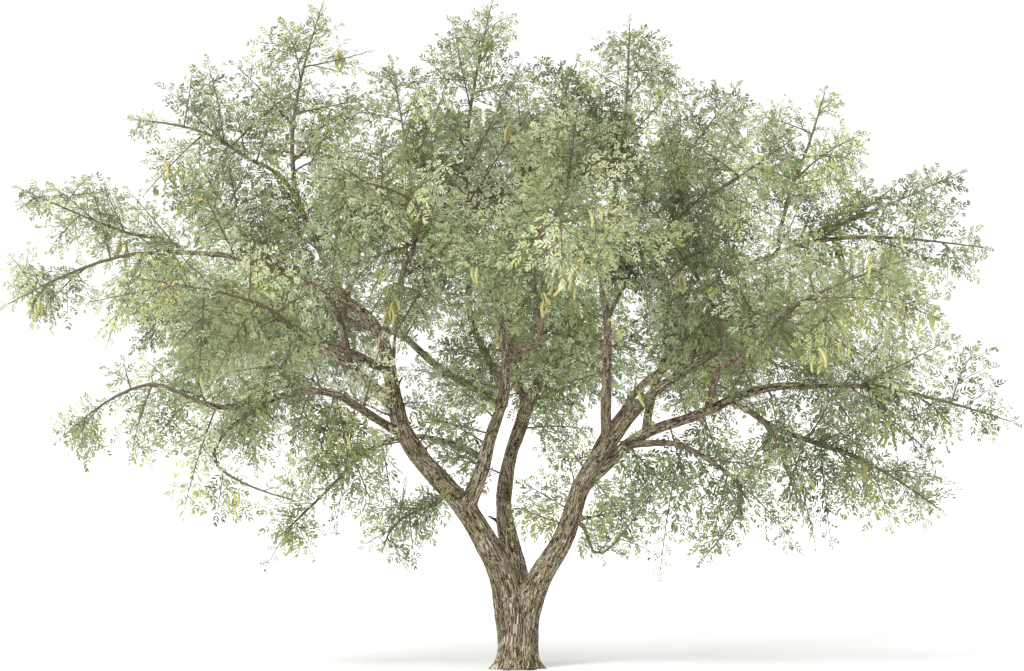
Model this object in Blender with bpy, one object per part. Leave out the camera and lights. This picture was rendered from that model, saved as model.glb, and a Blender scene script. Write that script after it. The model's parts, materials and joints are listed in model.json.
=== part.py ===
"""Ghaf tree, Prosopis cineraria: trunk, limbs and masses of foliage, each a closed solid.

Blender 4.5, metres, +Z up. The origin is the middle of the flat cut under the trunk.
West is -X, east is +X, south is -Y, the side that the tree is drawn from, and north is +Y.
"""

import math
import random
from collections import namedtuple

import bmesh
import bpy
import numpy as np
from mathutils import Matrix, Vector
from mathutils.geometry import intersect_ray_tri

# Driving dimensions of the trunk

FORK_HEIGHT = 0.81
FOOT_RADIUS = 0.265
NECK_RADIUS = 0.187
HEAD_RADIUS = 0.250
HEAD_FLATTENING = 0.78
TRUNK_LEAN = 0.030
FLARE_HEIGHT = 0.075
TOES = 7
TOE_RELIEF = 0.14
TOE_TURN = 0.6
TOE_FADE = 2.2
SPREAD_START = 0.45
SPREAD_POWER = 1.5
CROTCH_SHARE = 0.80
TRUNK_LEVELS = (0.0, 0.035, 0.08, 0.14, 0.24, 0.40, 0.56, 0.68, 0.77, FORK_HEIGHT)
TRUNK_SIDES = 21

# Driving dimensions of the limbs

GAP = 0.0003
SOLVER = "EXACT"
TAPER = 1.0
COLLAR = 0.16
COLLAR_LENGTH = 2
WIDEST_BASE = 0.9
HANDLE = 0.40
CROOK = 0.026
CROOK_LENGTH = 1.1
CURVE_STEPS = 60
RING_STEP = 0.42
FIRST_ACROSS = Vector((0.3, -0.9, 0.2))
LIMB_SIDES = 8
THIN_LIMB_SIDES = 6
THIN_LIMB_RADIUS = 0.034

# A limb leaves its parent at a share of the parent's length and runs as one easy curve to its end
# place. It leaves and arrives at a pair of angles: its course in the south elevation, where 0 is
# east, 90 is up and 180 is west, and its depth out of that plane, where north is positive.

Limb = namedtuple("Limb", "name parent share leave arrive end base tip")

LIMBS = (
    Limb("west_stem", "trunk", 0.86, (100, -5), (165, 5), (-1.95, 0.05, 3.70), 0.130, 0.045),
    Limb("east_stem", "trunk", 0.88, (64, 0), (30, -15), (1.80, -0.25, 3.00), 0.115, 0.034),
    Limb("middle_stem", "trunk", 0.86, (100, 20), (45, 15), (0.35, 0.65, 2.95), 0.108, 0.036),
    Limb("inner_stem", "west_stem", 0.26, (68, -15), (95, -5), (-0.15, -0.30, 3.35), 0.090, 0.032),
    Limb("east_bough", "east_stem", 0.39, (42, 0), (-5, 5), (3.35, 0.00, 2.75), 0.078, 0.026),
    Limb("west_bough", "west_stem", 0.59, (135, 15), (165, 20), (-2.35, 0.45, 3.25), 0.068, 0.036),
    Limb("high_west_limb", "west_stem", 0.92, (120, 5), (90, 0), (-2.20, 0.15, 5.00), 0.038, 0.022),
    Limb("top_west_limb", "high_west_limb", 0.72, (125, 15), (150, 10), (-2.90, 0.35, 5.15), 0.024, 0.018),
    Limb("far_west_limb", "west_bough", 0.42, (100, -50), (180, 5), (-3.50, -0.15, 4.05), 0.046, 0.022),
    Limb("arched_west_limb", "west_stem", 0.51, (150, -20), (150, -10), (-3.25, -0.70, 2.70),
         0.046, 0.022),
    Limb("hanging_west_limb", "arched_west_limb", 0.62, (215, -25), (240, -20),
         (-2.85, -0.65, 2.25), 0.024, 0.018),
    Limb("low_west_limb", "inner_stem", 0.27, (130, 60), (230, -10), (-1.65, 0.35, 1.95), 0.036, 0.018),
    Limb("short_west_limb", "west_stem", 0.325, (215, -35), (200, -25), (-0.95, -0.25, 1.55), 0.030, 0.018),
    Limb("upper_south_limb", "west_stem", 0.77, (80, -30), (70, -40), (-0.95, -0.90, 4.20), 0.038, 0.022),
    Limb("south_west_limb", "west_stem", 0.69, (150, -45), (130, -65), (-2.20, -1.75, 3.40), 0.044, 0.024),
    Limb("north_west_limb", "inner_stem", 0.57, (140, 15), (145, 50), (-2.10, 1.75, 3.65), 0.042, 0.024),
    Limb("leading_limb", "inner_stem", 0.66, (120, 0), (90, 5), (-0.50, 0.05, 4.85), 0.038, 0.022),
    Limb("south_limb", "inner_stem", 0.80, (30, -45), (100, -60), (0.15, -2.00, 3.75), 0.038, 0.024),
    Limb("north_limb", "middle_stem", 0.60, (60, 45), (85, 60), (0.30, 2.40, 3.40), 0.050, 0.026),
    Limb("upper_north_limb", "middle_stem", 0.80, (110, 30), (95, 40), (-0.15, 1.85, 4.45), 0.038, 0.022),
    Limb("upright_limb", "east_stem", 0.56, (90, 10), (80, 5), (1.00, 0.25, 4.85), 0.066, 0.022),
    Limb("inner_east_limb", "upright_limb", 0.57, (40, -20), (30, -25), (1.85, -0.65, 4.60), 0.028, 0.020),
    Limb("high_east_limb", "east_bough", 0.28, (85, 25), (5, 10), (3.10, 0.75, 4.20), 0.044, 0.022),
    Limb("top_east_limb", "high_east_limb", 0.82, (85, -15), (65, -10), (2.75, 0.55, 4.80), 0.022, 0.018),
    Limb("low_east_limb", "east_bough", 0.58, (-35, -20), (-15, -20), (3.05, -0.45, 2.15), 0.036, 0.022),
    Limb("hanging_east_limb", "east_bough", 0.21, (5, -30), (-40, -20), (2.05, -0.50, 1.90), 0.036, 0.020),
    Limb("south_east_limb", "east_bough", 0.49, (80, -45), (55, -60), (2.45, -1.75, 3.40), 0.036, 0.024),
    Limb("north_east_limb", "east_stem", 0.48, (70, 60), (60, 55), (1.85, 2.10, 3.40), 0.046, 0.024),
    Limb("short_east_limb", "east_stem", 0.29, (-30, -25), (-75, -20), (0.70, -0.10, 1.25), 0.026, 0.016),
)

# Limbs that bend once on their way: the place of the bend and the two angles there

BENDS = {
    "west_stem": ((-0.95, 0.00, 2.15), (122, 0)),
    "far_west_limb": ((-2.10, -0.20, 3.75), (150, 0)),
    "arched_west_limb": ((-2.05, -0.40, 2.70), (190, -10)),
}

# Where the three stems stand in the head of the trunk, as x and y from its axis

STEM_SEATS = {"west_stem": (-0.115, -0.01), "east_stem": (0.115, -0.01), "middle_stem": (0.01, 0.07)}

# Limbs that start against a limb that isn't their parent and are cut clear of it

NEIGHBOURS = {
    "middle_stem": ("west_stem", "east_stem"),
    "east_stem": ("west_stem",),
    "north_east_limb": ("east_bough",),
}

# Each mass of foliage grows from the tip of a limb and keeps to an egg-shaped space: its middle
# and its half sizes east, north and up

Mass = namedtuple("Mass", "name limb middle half")

MASSES = (
    Mass("far_west_foliage", "far_west_limb", (-4.08, -0.15, 3.95), (1.04, 1.15, 0.88)),
    Mass("arched_west_foliage", "arched_west_limb", (-3.55, -0.90, 2.45), (0.90, 0.95, 0.65)),
    Mass("hanging_west_foliage", "hanging_west_limb", (-2.65, -0.75, 2.10), (0.95, 0.90, 0.70)),
    Mass("west_foliage", "west_bough", (-2.85, 0.50, 3.30), (1.05, 1.00, 0.72)),
    Mass("upper_west_foliage", "west_stem", (-2.60, 0.30, 4.40), (1.05, 1.00, 0.85)),
    Mass("high_west_foliage", "high_west_limb", (-2.08, 0.10, 5.60), (0.80, 1.00, 0.92)),
    Mass("top_west_foliage", "top_west_limb", (-3.10, 0.35, 5.20), (0.75, 0.95, 0.78)),
    Mass("low_west_foliage", "low_west_limb", (-1.85, 0.15, 1.75), (0.95, 0.85, 0.75)),
    Mass("short_west_foliage", "short_west_limb", (-1.05, -0.45, 1.45), (0.55, 0.60, 0.55)),
    Mass("upper_south_foliage", "upper_south_limb", (-1.30, -1.45, 4.40), (1.05, 1.15, 0.95)),
    Mass("south_west_foliage", "south_west_limb", (-2.70, -2.40, 3.55), (1.25, 1.20, 0.80)),
    Mass("north_west_foliage", "north_west_limb", (-2.55, 2.30, 3.20), (1.40, 1.35, 1.25)),
    Mass("inner_foliage", "inner_stem", (-0.40, -0.50, 3.95), (0.95, 0.85, 0.75)),
    Mass("leading_foliage", "leading_limb", (-0.38, 0.00, 5.63), (0.85, 1.05, 0.90)),
    Mass("middle_foliage", "middle_stem", (0.40, 0.95, 3.15), (0.95, 0.90, 0.95)),
    Mass("south_foliage", "south_limb", (0.30, -2.70, 4.10), (1.30, 1.25, 0.85)),
    Mass("north_foliage", "north_limb", (0.15, 3.00, 3.25), (1.45, 1.10, 1.15)),
    Mass("upper_north_foliage", "upper_north_limb", (-0.35, 1.95, 4.85), (1.30, 1.10, 0.85)),
    Mass("east_foliage", "east_stem", (1.60, -0.45, 3.60), (0.95, 0.85, 0.75)),
    Mass("upright_foliage", "upright_limb", (1.05, 0.30, 5.52), (0.82, 1.05, 0.86)),
    Mass("inner_east_foliage", "inner_east_limb", (2.00, -0.80, 4.70), (1.00, 1.10, 0.95)),
    Mass("high_east_foliage", "high_east_limb", (3.75, 0.80, 4.20), (1.02, 1.20, 0.76)),
    Mass("top_east_foliage", "top_east_limb", (2.85, 0.60, 5.08), (0.72, 0.95, 0.66)),
    Mass("east_bough_foliage", "east_bough", (4.02, 0.00, 2.78), (0.92, 1.10, 0.76)),
    Mass("low_east_foliage", "low_east_limb", (3.40, -0.60, 1.95), (0.90, 0.90, 0.62)),
    Mass("hanging_east_foliage", "hanging_east_limb", (2.00, -0.55, 1.75), (1.00, 0.90, 0.72)),
    Mass("short_east_foliage", "short_east_limb", (0.95, -0.25, 1.45), (0.50, 0.55, 0.52)),
    Mass("south_east_foliage", "south_east_limb", (2.85, -2.25, 3.60), (1.25, 1.20, 0.80)),
    Mass("north_east_foliage", "north_east_limb", (2.55, 2.30, 3.15), (1.45, 1.30, 1.25)),
)

# Driving dimensions of the twigs, leaves and pods of a mass of the usual size. The lengths grow and
# shrink with the mass. A leaf here stands for a spray of leaflets. Angles are in degrees.

SEED = 11
NEARLY_UP = Vector((0.02, 0.03, 1))
GOLDEN_TURN = 137.5
USUAL_HALF_SIZE = 0.85
SPACE_MARGIN = 0.03
LIMB_CLEARANCE = 0.025
ROOT_CLEARANCE = 0.05
SAMPLE_STEP = 0.03

LEADER_START = 0.08
LEADER_REACH = 0.90
LEADER_END_RADIUS = 0.010
TWIG_RADIUS = 0.014
TWIG_END_RADIUS = 0.010
TWIG_SIDES = 3
SIDE_TWIGS = 6
FIRST_TWIG = 0.16
LAST_TWIG = 0.96
LONGEST_TWIG = 0.85
SHORTEST_TWIG = 0.08
TWIG_SPREAD = 58
TWIG_WANDER = 14
TWIG_SHRINK = 0.7

LEAF_LENGTH = 0.62
LEAF_WIDTH = 0.28
LEAF_THICKNESS = 0.018
LEAF_WIDEST = 0.42
LEAF_PEAK = 0.22
LEAF_SUNK = 0.004
LEAF_ROOT_SHARE = 0.08
LEAF_STEP = 0.22
LEAF_SPREAD = 52
LEAF_ROLL = 38
LEAF_WANDER = 25
LEAF_VARIETY = (0.85, 1.10)
LEAF_SHRINK = 0.8
SHORTEST_LEAF = 0.50
END_LEAF_ROOM = 0.6
END_LEAF_SPREAD = 8
END_LEAF_SET_BACK = 0.015
LAST_LEAF_SPACE = 0.04
LEAF_RAYS = 5

TURN_OFFERS = (0, 35, -35, 90, -90)
SPREAD_PER_TURN = 1 / 6
LEADER_LEAVES = ((0, 0), (LEAF_SPREAD, 60), (LEAF_SPREAD, 240))
LEADER_LEAF_SET_BACK = 0.02
SET_BACK_PER_SPREAD = 0.002

POD_LENGTH = 0.26
POD_RADIUS = 0.013
POD_SIDES = 4
POD_SHAPE = (0.4, 0.8, 1.0, 0.4)
POD_CURVE = 0.05
POD_PLACE = 0.8
PODDED_TWIG = 1
PODDED_MASSES = 2

TRUNK_BARK = (0.27, 0.22, 0.17)
LIMB_BARK = (0.30, 0.25, 0.19)
LEAF_GREEN = (0.30, 0.38, 0.22)
BARK_ROUGHNESS = 0.9
SHARP_EDGE = 60
LEAF_ROUGHNESS = 0.7


def between(values, share):
    """The value at a share of the way along an evenly spaced row of values."""
    place = share * (len(values) - 1)
    first = min(int(place), len(values) - 2)
    return values[first] + (values[first + 1] - values[first]) * (place - first)


def heading(course, depth):
    """A unit direction from an angle in the south elevation and an angle out of it."""
    course, depth = math.radians(course), math.radians(depth)
    return Vector((math.cos(depth) * math.cos(course), math.sin(depth), math.cos(depth) * math.sin(course)))


class Path:
    """The axis of a limb as even points, with a radius at each."""

    def __init__(self, points, radii):
        self.points = points
        self.radii = radii

    def at(self, share):
        return between(self.points, share)

    def radius_at(self, share):
        return between(self.radii, share)

    def direction(self, index):
        before = self.points[max(index - 1, 0)]
        after = self.points[min(index + 1, len(self.points) - 1)]
        return (after - before).normalized()

    def direction_at(self, share):
        stretch = 1 / (len(self.points) - 1)
        return (self.at(min(share + stretch / 2, 1)) - self.at(share - stretch / 2)).normalized()


def trunk_radius(height):
    """Wide at the foot, narrowest at the neck, wide again where it forks."""
    flare = (FOOT_RADIUS - NECK_RADIUS) * math.exp(-height / FLARE_HEIGHT)
    spread = max((height / FORK_HEIGHT - SPREAD_START) / (1 - SPREAD_START), 0.0)
    return NECK_RADIUS + flare + (HEAD_RADIUS - NECK_RADIUS) * spread ** SPREAD_POWER


def evenly_spaced(curve, count):
    """Points at even steps along a finely drawn curve, both ends included."""
    lengths = [0.0]
    for start, end in zip(curve, curve[1:]):
        lengths.append(lengths[-1] + (end - start).length)
    points, index = [], 0
    for step in range(count + 1):
        wanted = lengths[-1] * step / count
        while index < len(curve) - 2 and lengths[index + 1] < wanted:
            index += 1
        stretch = lengths[index + 1] - lengths[index]
        points.append(curve[index].lerp(curve[index + 1], (wanted - lengths[index]) / stretch))
    return points


def crook(name, start, end):
    """A function for the slow seeded waver of a limb off its easy curve, none at either end."""
    chance = random.Random(f"{SEED} {name}")
    along = (end - start).normalized()
    side = along.orthogonal().normalized()
    side = Matrix.Rotation(chance.uniform(0, math.tau), 3, along) @ side
    distance = (end - start).length
    waves = max(1, round(distance / CROOK_LENGTH))

    def waver(share):
        swing = math.sin(math.tau * waves * share / 2) * math.sin(math.pi * share)
        turn = Matrix.Rotation(math.pi * share, 3, along)
        return turn @ side * swing * CROOK * distance

    return waver


def easy_curve(start, leaving, end, arriving):
    """Points after start, along a curve to end with the given directions at both."""
    handle = HANDLE * (end - start).length
    after_start, before_end = start + leaving * handle, end - arriving * handle
    points = []
    for step in range(1, CURVE_STEPS + 1):
        t = step / CURVE_STEPS
        first, last = start.lerp(after_start, t), before_end.lerp(end, t)
        middle = after_start.lerp(before_end, t)
        points.append(first.lerp(middle, t).lerp(middle.lerp(last, t), t))
    return points


def limb_path(limb, paths):
    """A curve from a limb's seat on its parent to its end place, thinning as it goes."""
    parent = paths[limb.parent]
    start = parent.at(limb.share)
    if limb.name in STEM_SEATS:
        start = start + Vector((*STEM_SEATS[limb.name], 0))
        base = limb.base
    else:
        base = min(limb.base, WIDEST_BASE * parent.radius_at(limb.share) / (1 + COLLAR))
    end = Vector(limb.end)
    knots = [(start, heading(*limb.leave)), (end, heading(*limb.arrive))]
    if limb.name in BENDS:
        place, angles = BENDS[limb.name]
        knots.insert(1, (Vector(place), heading(*angles)))
    curve = [start]
    for knot, after in zip(knots, knots[1:]):
        curve += easy_curve(*knot, *after)
    waver = crook(limb.name, start, end)
    curve = [point + waver(i / (len(curve) - 1)) for i, point in enumerate(curve)]
    length = sum((b - a).length for a, b in zip(curve, curve[1:]))
    rings = max(2, round(length / RING_STEP))
    points = evenly_spaced(curve, rings)
    radii = []
    for index in range(rings + 1):
        share = index / rings
        collar = 1 + COLLAR * math.exp(-share * length / (COLLAR_LENGTH * base))
        radii.append((base + (limb.tip - base) * share ** TAPER) * collar)
    return Path(points, radii)


def clear_scene():
    for thing in list(bpy.data.objects):
        bpy.data.objects.remove(thing, do_unlink=True)


def material(name, colour, roughness):
    made = bpy.data.materials.new(name)
    made.use_nodes = True
    shader = made.node_tree.nodes["Principled BSDF"]
    shader.inputs["Base Color"].default_value = (*colour, 1)
    shader.inputs["Roughness"].default_value = roughness
    shader.inputs["Metallic"].default_value = 0
    return made


def add_object(name, mesh):
    thing = bpy.data.objects.new(name, mesh)
    bpy.context.collection.objects.link(thing)
    return thing


def solid_from_rings(name, rings, split=True):
    """Skin a row of rings and close both ends with flat faces. Split sides are triangles."""
    shape = bmesh.new()
    rows = [[shape.verts.new(point) for point in ring] for ring in rings]
    sides = len(rings[0])
    for low, high in zip(rows, rows[1:]):
        for side in range(sides):
            after = (side + 1) % sides
            if split:
                shape.faces.new((low[side], low[after], high[after]))
                shape.faces.new((low[side], high[after], high[side]))
            else:
                shape.faces.new((low[side], low[after], high[after], high[side]))
    shape.faces.new(rows[0][::-1])
    shape.faces.new(rows[-1])
    bmesh.ops.recalc_face_normals(shape, faces=shape.faces)
    mesh = bpy.data.meshes.new(name)
    shape.to_mesh(mesh)
    shape.free()
    return add_object(name, mesh)


def ring(centre, direction, across, radius, sides):
    """A circle of points square to a direction, its first point towards across."""
    across = (across - direction * across.dot(direction)).normalized()
    other = direction.cross(across)
    turns = [math.tau * side / sides for side in range(sides)]
    return [centre + (across * math.cos(turn) + other * math.sin(turn)) * radius for turn in turns], across


def tube(name, path, sides, grow=0.0, split=True):
    """A tapering limb along a path, its skin pushed out by grow."""
    rings, across = [], FIRST_ACROSS
    for index, (point, radius) in enumerate(zip(path.points, path.radii)):
        points, across = ring(point, path.direction(index), across, radius + grow, sides)
        rings.append(points)
    return solid_from_rings(name, rings, split)


def trunk_solid(name, grow=0.0):
    """The trunk from its flat cut at the ground to the rounded crotch between its stems."""
    rings = []
    for height in TRUNK_LEVELS:
        level = height + grow if height else 0.0
        fade = math.exp(-height / (TOE_FADE * FLARE_HEIGHT))
        flat = 1 - (1 - HEAD_FLATTENING) * (height / FORK_HEIGHT) ** 2
        size = trunk_radius(height) * (CROTCH_SHARE if height == FORK_HEIGHT else 1)
        lean = TRUNK_LEAN * height / FORK_HEIGHT
        points = []
        for side in range(TRUNK_SIDES):
            turn = math.tau * side / TRUNK_SIDES
            relief = 1 + TOE_RELIEF * fade * math.cos(TOES * turn + TOE_TURN)
            reach = size * relief + grow
            points.append(Vector((lean + reach * math.cos(turn), flat * reach * math.sin(turn), level)))
        rings.append(points)
    return solid_from_rings(name, rings)


def smooth(mesh):
    mesh.shade_smooth()
    mesh.set_sharp_from_angle(angle=math.radians(SHARP_EDGE))


def apply_modifiers(thing):
    graph = bpy.context.evaluated_depsgraph_get()
    mesh = bpy.data.meshes.new_from_object(thing.evaluated_get(graph))
    old = thing.data
    thing.modifiers.clear()
    thing.data = mesh
    bpy.data.meshes.remove(old)


def cut(thing, cutter):
    """Take a cutter's space out of a solid, and remove the cutter."""
    boolean = thing.modifiers.new("seat", "BOOLEAN")
    boolean.operation = "DIFFERENCE"
    boolean.solver = SOLVER
    boolean.object = cutter
    apply_modifiers(thing)
    bpy.data.objects.remove(cutter, do_unlink=True)


def limb_sides(limb):
    return THIN_LIMB_SIDES if limb.base < THIN_LIMB_RADIUS else LIMB_SIDES


def build_limbs(paths):
    sides = {limb.name: limb_sides(limb) for limb in LIMBS}
    for limb in LIMBS:
        thing = tube(limb.name, paths[limb.name], sides[limb.name])
        for other in (limb.parent, *NEIGHBOURS.get(limb.name, ())):
            if other == "trunk":
                cut(thing, trunk_solid("cutter", GAP))
            else:
                cut(thing, tube("cutter", paths[other], sides[other], GAP))
        smooth(thing.data)
        thing.data.materials.append(material(limb.name + "_bark", LIMB_BARK, BARK_ROUGHNESS))


class Space:
    """The room of one mass: an egg, cut flat where a neighbour's egg meets it."""

    def __init__(self, mass):
        self.middle = np.array(mass.middle)
        self.half = np.array(mass.half)
        self.walls = []
        for other in MASSES:
            if other.name != mass.name:
                apart = np.array(other.middle) - self.middle
                distance = np.linalg.norm(apart)
                out = apart / distance
                mine, theirs = egg_reach(self.half, out), egg_reach(np.array(other.half), out)
                self.walls.append((*out, self.middle @ out + distance * mine / (mine + theirs)))
        self.walls = np.array(self.walls)

    def inside_walls(self, points):
        heights = np.array(points) @ self.walls[:, :3].T
        return bool((heights < self.walls[:, 3] - SPACE_MARGIN).all())

    def holds(self, points):
        from_middle = (np.array(points) - self.middle) / (self.half - SPACE_MARGIN)
        return bool((from_middle ** 2).sum(axis=1).max() < 1) and self.inside_walls(points)

    def room(self, start, direction):
        """How far a straight line runs from start before it leaves the space."""
        start, direction = np.array(start), np.array(direction)
        scale = self.half - SPACE_MARGIN
        a, b = direction / scale, (start - self.middle) / scale
        inner = (a @ b) ** 2 - (a @ a) * (b @ b - 1)
        if inner <= 0:
            return 0.0
        reach = (math.sqrt(inner) - a @ b) / (a @ a)
        speed = self.walls[:, :3] @ direction
        left = self.walls[:, 3] - SPACE_MARGIN - self.walls[:, :3] @ start
        ahead = speed > 0
        return max(0.0, min(reach, (left[ahead] / speed[ahead]).min(initial=reach)))


def egg_reach(half, direction):
    return 1 / math.sqrt(((direction / half) ** 2).sum())


class Limbs:
    """All limbs as straight stretches, to keep twigs and leaves clear of them."""

    def __init__(self, paths):
        stretches = [
            (*path.points[i], *path.points[i + 1], max(path.radii[i], path.radii[i + 1]))
            for path in paths.values() for i in range(len(path.points) - 1)
        ]
        rows = np.array(stretches)
        self.start, self.along, self.radius = rows[:, :3], rows[:, 3:6] - rows[:, :3], rows[:, 6]
        self.square = (self.along ** 2).sum(axis=1)

    def clear_of(self, points, radius):
        points = np.array(points)[:, None, :]
        share = ((points - self.start) * self.along).sum(axis=2) / self.square
        nearest = self.start + self.along * np.clip(share, 0, 1)[:, :, None]
        gap = np.linalg.norm(points - nearest, axis=2) - self.radius
        return bool(gap.min() > radius + LIMB_CLEARANCE)


def samples(start, end):
    count = max(2, math.ceil((end - start).length / SAMPLE_STEP) + 1)
    return [start.lerp(end, i / (count - 1)) for i in range(count)]


def turned(direction, side, spread, turn):
    """A direction leaned away from another by spread, towards side turned about it, in degrees."""
    side = (side - direction * side.dot(direction)).normalized()
    side = Matrix.Rotation(math.radians(turn), 3, direction) @ side
    spread = math.radians(spread)
    return (direction * math.cos(spread) + side * math.sin(spread)).normalized()


def leaf_corners(root, direction, across, length):
    """Root, tip and two sides of a leaf, widest nearer its root."""
    tip = root + direction * length
    middle = root.lerp(tip, LEAF_WIDEST)
    half = across * LEAF_WIDTH / 2 * length / LEAF_LENGTH
    return [root, middle + half, tip, middle - half]


def leaf_solid(name, corners, normal):
    root, left, tip, right = corners
    middle = root.lerp(tip, LEAF_PEAK)
    shape = bmesh.new()
    rim = [shape.verts.new(corner) for corner in corners]
    for height in (LEAF_THICKNESS / 2, -LEAF_THICKNESS / 2):
        peak = shape.verts.new(middle + normal * height)
        for i, corner in enumerate(rim):
            shape.faces.new((peak, corner, rim[(i + 1) % len(rim)]))
    bmesh.ops.recalc_face_normals(shape, faces=shape.faces)
    mesh = bpy.data.meshes.new(name)
    shape.to_mesh(mesh)
    shape.free()
    return add_object(name, mesh)


def pierces(start, end, corners):
    """Whether a straight line passes through a leaf."""
    root, left, tip, right = corners
    line = end - start
    for corner in (left, right):
        for ray, origin in ((line, start), (-line, end)):
            hit = intersect_ray_tri(root, tip, corner, ray, origin)
            if hit is None:
                break
        else:
            return True
    return False


def outline(corners):
    root, left, tip, right = corners
    return ((root, left), (left, tip), (tip, right), (right, root), (root, tip))


class MassBuilder:
    """Grows one mass: a leader on from its limb, side twigs round it, and leaves on them."""

    def __init__(self, mass, path, limbs):
        self.mass = mass
        self.limb = path
        self.limbs = limbs
        self.space = Space(mass)
        self.random = random.Random(f"{SEED} {mass.name}")
        self.size = sum(mass.half) / 3 / USUAL_HALF_SIZE
        self.pieces = []
        self.leaves = []
        self.twigs = []

    def leader(self):
        direction = self.limb.direction(len(self.limb.points) - 1)
        start = self.limb.points[-1] + direction * GAP
        lower = start + direction * LEADER_START
        middle = Vector(self.mass.middle)
        towards = (middle - start).normalized()
        far = middle + towards * egg_reach(self.space.half, np.array(towards)) * LEADER_REACH
        bend = lower + direction * (far - lower).length / 3
        points = [start]
        for share in (0, 0.5, 1):
            points.append(lower.lerp(bend, share).lerp(bend.lerp(far, share), share))
        end = len(points) - 1
        radii = [between((self.limb.radii[-1], LEADER_END_RADIUS), i / end) for i in range(end + 1)]
        return Path(points, radii)

    def add_twig(self, start, direction, length):
        path = Path([start, start + direction * length], [TWIG_RADIUS, TWIG_END_RADIUS])
        self.pieces.append(tube("twig", path, TWIG_SIDES, split=False))
        self.twigs.append(path.points)
        return path

    def twig_fits(self, start, direction, length):
        end = start + direction * length
        away = start + direction * ROOT_CLEARANCE
        if any(pierces(away, end, leaf) for leaf in self.leaves):
            return False
        return self.space.holds([away, end]) and self.limbs.clear_of(samples(away, end), TWIG_RADIUS)

    def leaf_fits(self, corners):
        root, left, tip, right = corners
        rays = [left.lerp(right, i / (LEAF_RAYS - 1)) for i in range(LEAF_RAYS)]
        inner = [point for ray in rays for end in (root, tip) for point in samples(ray, end)]
        away = [point for point in inner if (point - root).length > ROOT_CLEARANCE]
        if not self.space.holds(corners) or not self.limbs.clear_of(away, LEAF_THICKNESS):
            return False
        for other in self.leaves:
            if any(pierces(*edge, other) for edge in outline(corners)):
                return False
            if any(pierces(*edge, corners) for edge in outline(other)):
                return False
        free_root = root.lerp(tip, LEAF_ROOT_SHARE)
        free = leaf_corners(free_root, (tip - root).normalized(), (left - right).normalized(),
                            (tip - free_root).length)
        return not any(pierces(*twig, free) for twig in self.twigs)

    def add_leaf(self, place, along, spread, turn):
        """A leaf leaned away from its twig, turned or shortened until it fits, or none."""
        side = along.cross(NEARLY_UP)
        roll = self.random.gauss(0, LEAF_ROLL)
        full = LEAF_LENGTH * self.size
        length = full * self.random.uniform(*LEAF_VARIETY)
        while length > SHORTEST_LEAF * full:
            for offer in TURN_OFFERS:
                direction = turned(along, side, spread + abs(offer) * SPREAD_PER_TURN, turn + offer)
                across = turned(direction, direction.cross(NEARLY_UP), 90, roll)
                corners = leaf_corners(place - direction * LEAF_SUNK, direction, across, length)
                if self.leaf_fits(corners):
                    self.pieces.append(leaf_solid("leaf", corners, direction.cross(across)))
                    self.leaves.append(corners)
                    return
            length *= LEAF_SHRINK

    def add_pod(self, place):
        """A slender pod that hangs from a twig and curves a little."""
        lean = Vector((self.random.uniform(-1, 1), self.random.uniform(-1, 1), 0)) * POD_CURVE
        points = []
        for i in range(len(POD_SHAPE)):
            share = i / (len(POD_SHAPE) - 1)
            points.append(place + lean * math.sin(math.pi * share) + Vector((0, 0, -share * POD_LENGTH)))
        radii = [POD_RADIUS * size for size in POD_SHAPE]
        if self.space.holds(points) and self.limbs.clear_of(points, POD_RADIUS):
            self.pieces.append(tube("pod", Path(points, radii), POD_SIDES))

    def grow(self):
        leader = self.leader()
        stem = tube(self.mass.name, leader, TWIG_SIDES)
        self.twigs.extend(zip(leader.points, leader.points[1:]))
        for k in range(SIDE_TWIGS):
            share = FIRST_TWIG + (LAST_TWIG - FIRST_TWIG) * (k + 0.5) / SIDE_TWIGS
            along = leader.direction_at(share)
            turn = k * GOLDEN_TURN + self.random.uniform(-TWIG_WANDER, TWIG_WANDER)
            direction = turned(along, NEARLY_UP, TWIG_SPREAD, turn)
            self.grow_side_twig(k, leader.at(share), direction)
        end = leader.points[-1]
        along = leader.direction(len(leader.points) - 1)
        for spread, turn in LEADER_LEAVES:
            set_back = LEADER_LEAF_SET_BACK + spread * SET_BACK_PER_SPREAD
            self.add_leaf(end - along * set_back, along, spread, turn)
        return fuse(stem, self.pieces)

    def grow_side_twig(self, k, start, direction):
        room = self.space.room(start, direction)
        length = min(room - END_LEAF_ROOM * LEAF_LENGTH * self.size, LONGEST_TWIG * self.size)
        while length > SHORTEST_TWIG and not self.twig_fits(start, direction, length):
            length *= TWIG_SHRINK
        if length < SHORTEST_TWIG:
            self.add_leaf(start, direction, END_LEAF_SPREAD, 0)
            return
        twig = self.add_twig(start, direction, length)
        hand = 0
        place = LEAF_STEP * self.size
        while place < length - LAST_LEAF_SPACE:
            turn = hand + self.random.uniform(-LEAF_WANDER, LEAF_WANDER)
            self.add_leaf(twig.at(place / length), direction, LEAF_SPREAD, turn)
            hand += 180
            place += LEAF_STEP * self.size
        self.add_leaf(twig.points[-1] - direction * END_LEAF_SET_BACK, direction, END_LEAF_SPREAD, 0)
        if k == PODDED_TWIG and MASSES.index(self.mass) % PODDED_MASSES == 0:
            self.add_pod(twig.at(POD_PLACE))


def fuse(first, pieces):
    """Join a mass's pieces by one Boolean union, and keep its one body."""
    group = bpy.data.collections.new("pieces")
    for piece in pieces:
        group.objects.link(piece)
    union = first.modifiers.new("union", "BOOLEAN")
    union.operation = "UNION"
    union.operand_type = "COLLECTION"
    union.solver = SOLVER
    union.collection = group
    apply_modifiers(first)
    for piece in pieces:
        bpy.data.objects.remove(piece, do_unlink=True)
    bpy.data.collections.remove(group)
    keep_largest_shell(first.data)
    return first


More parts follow.
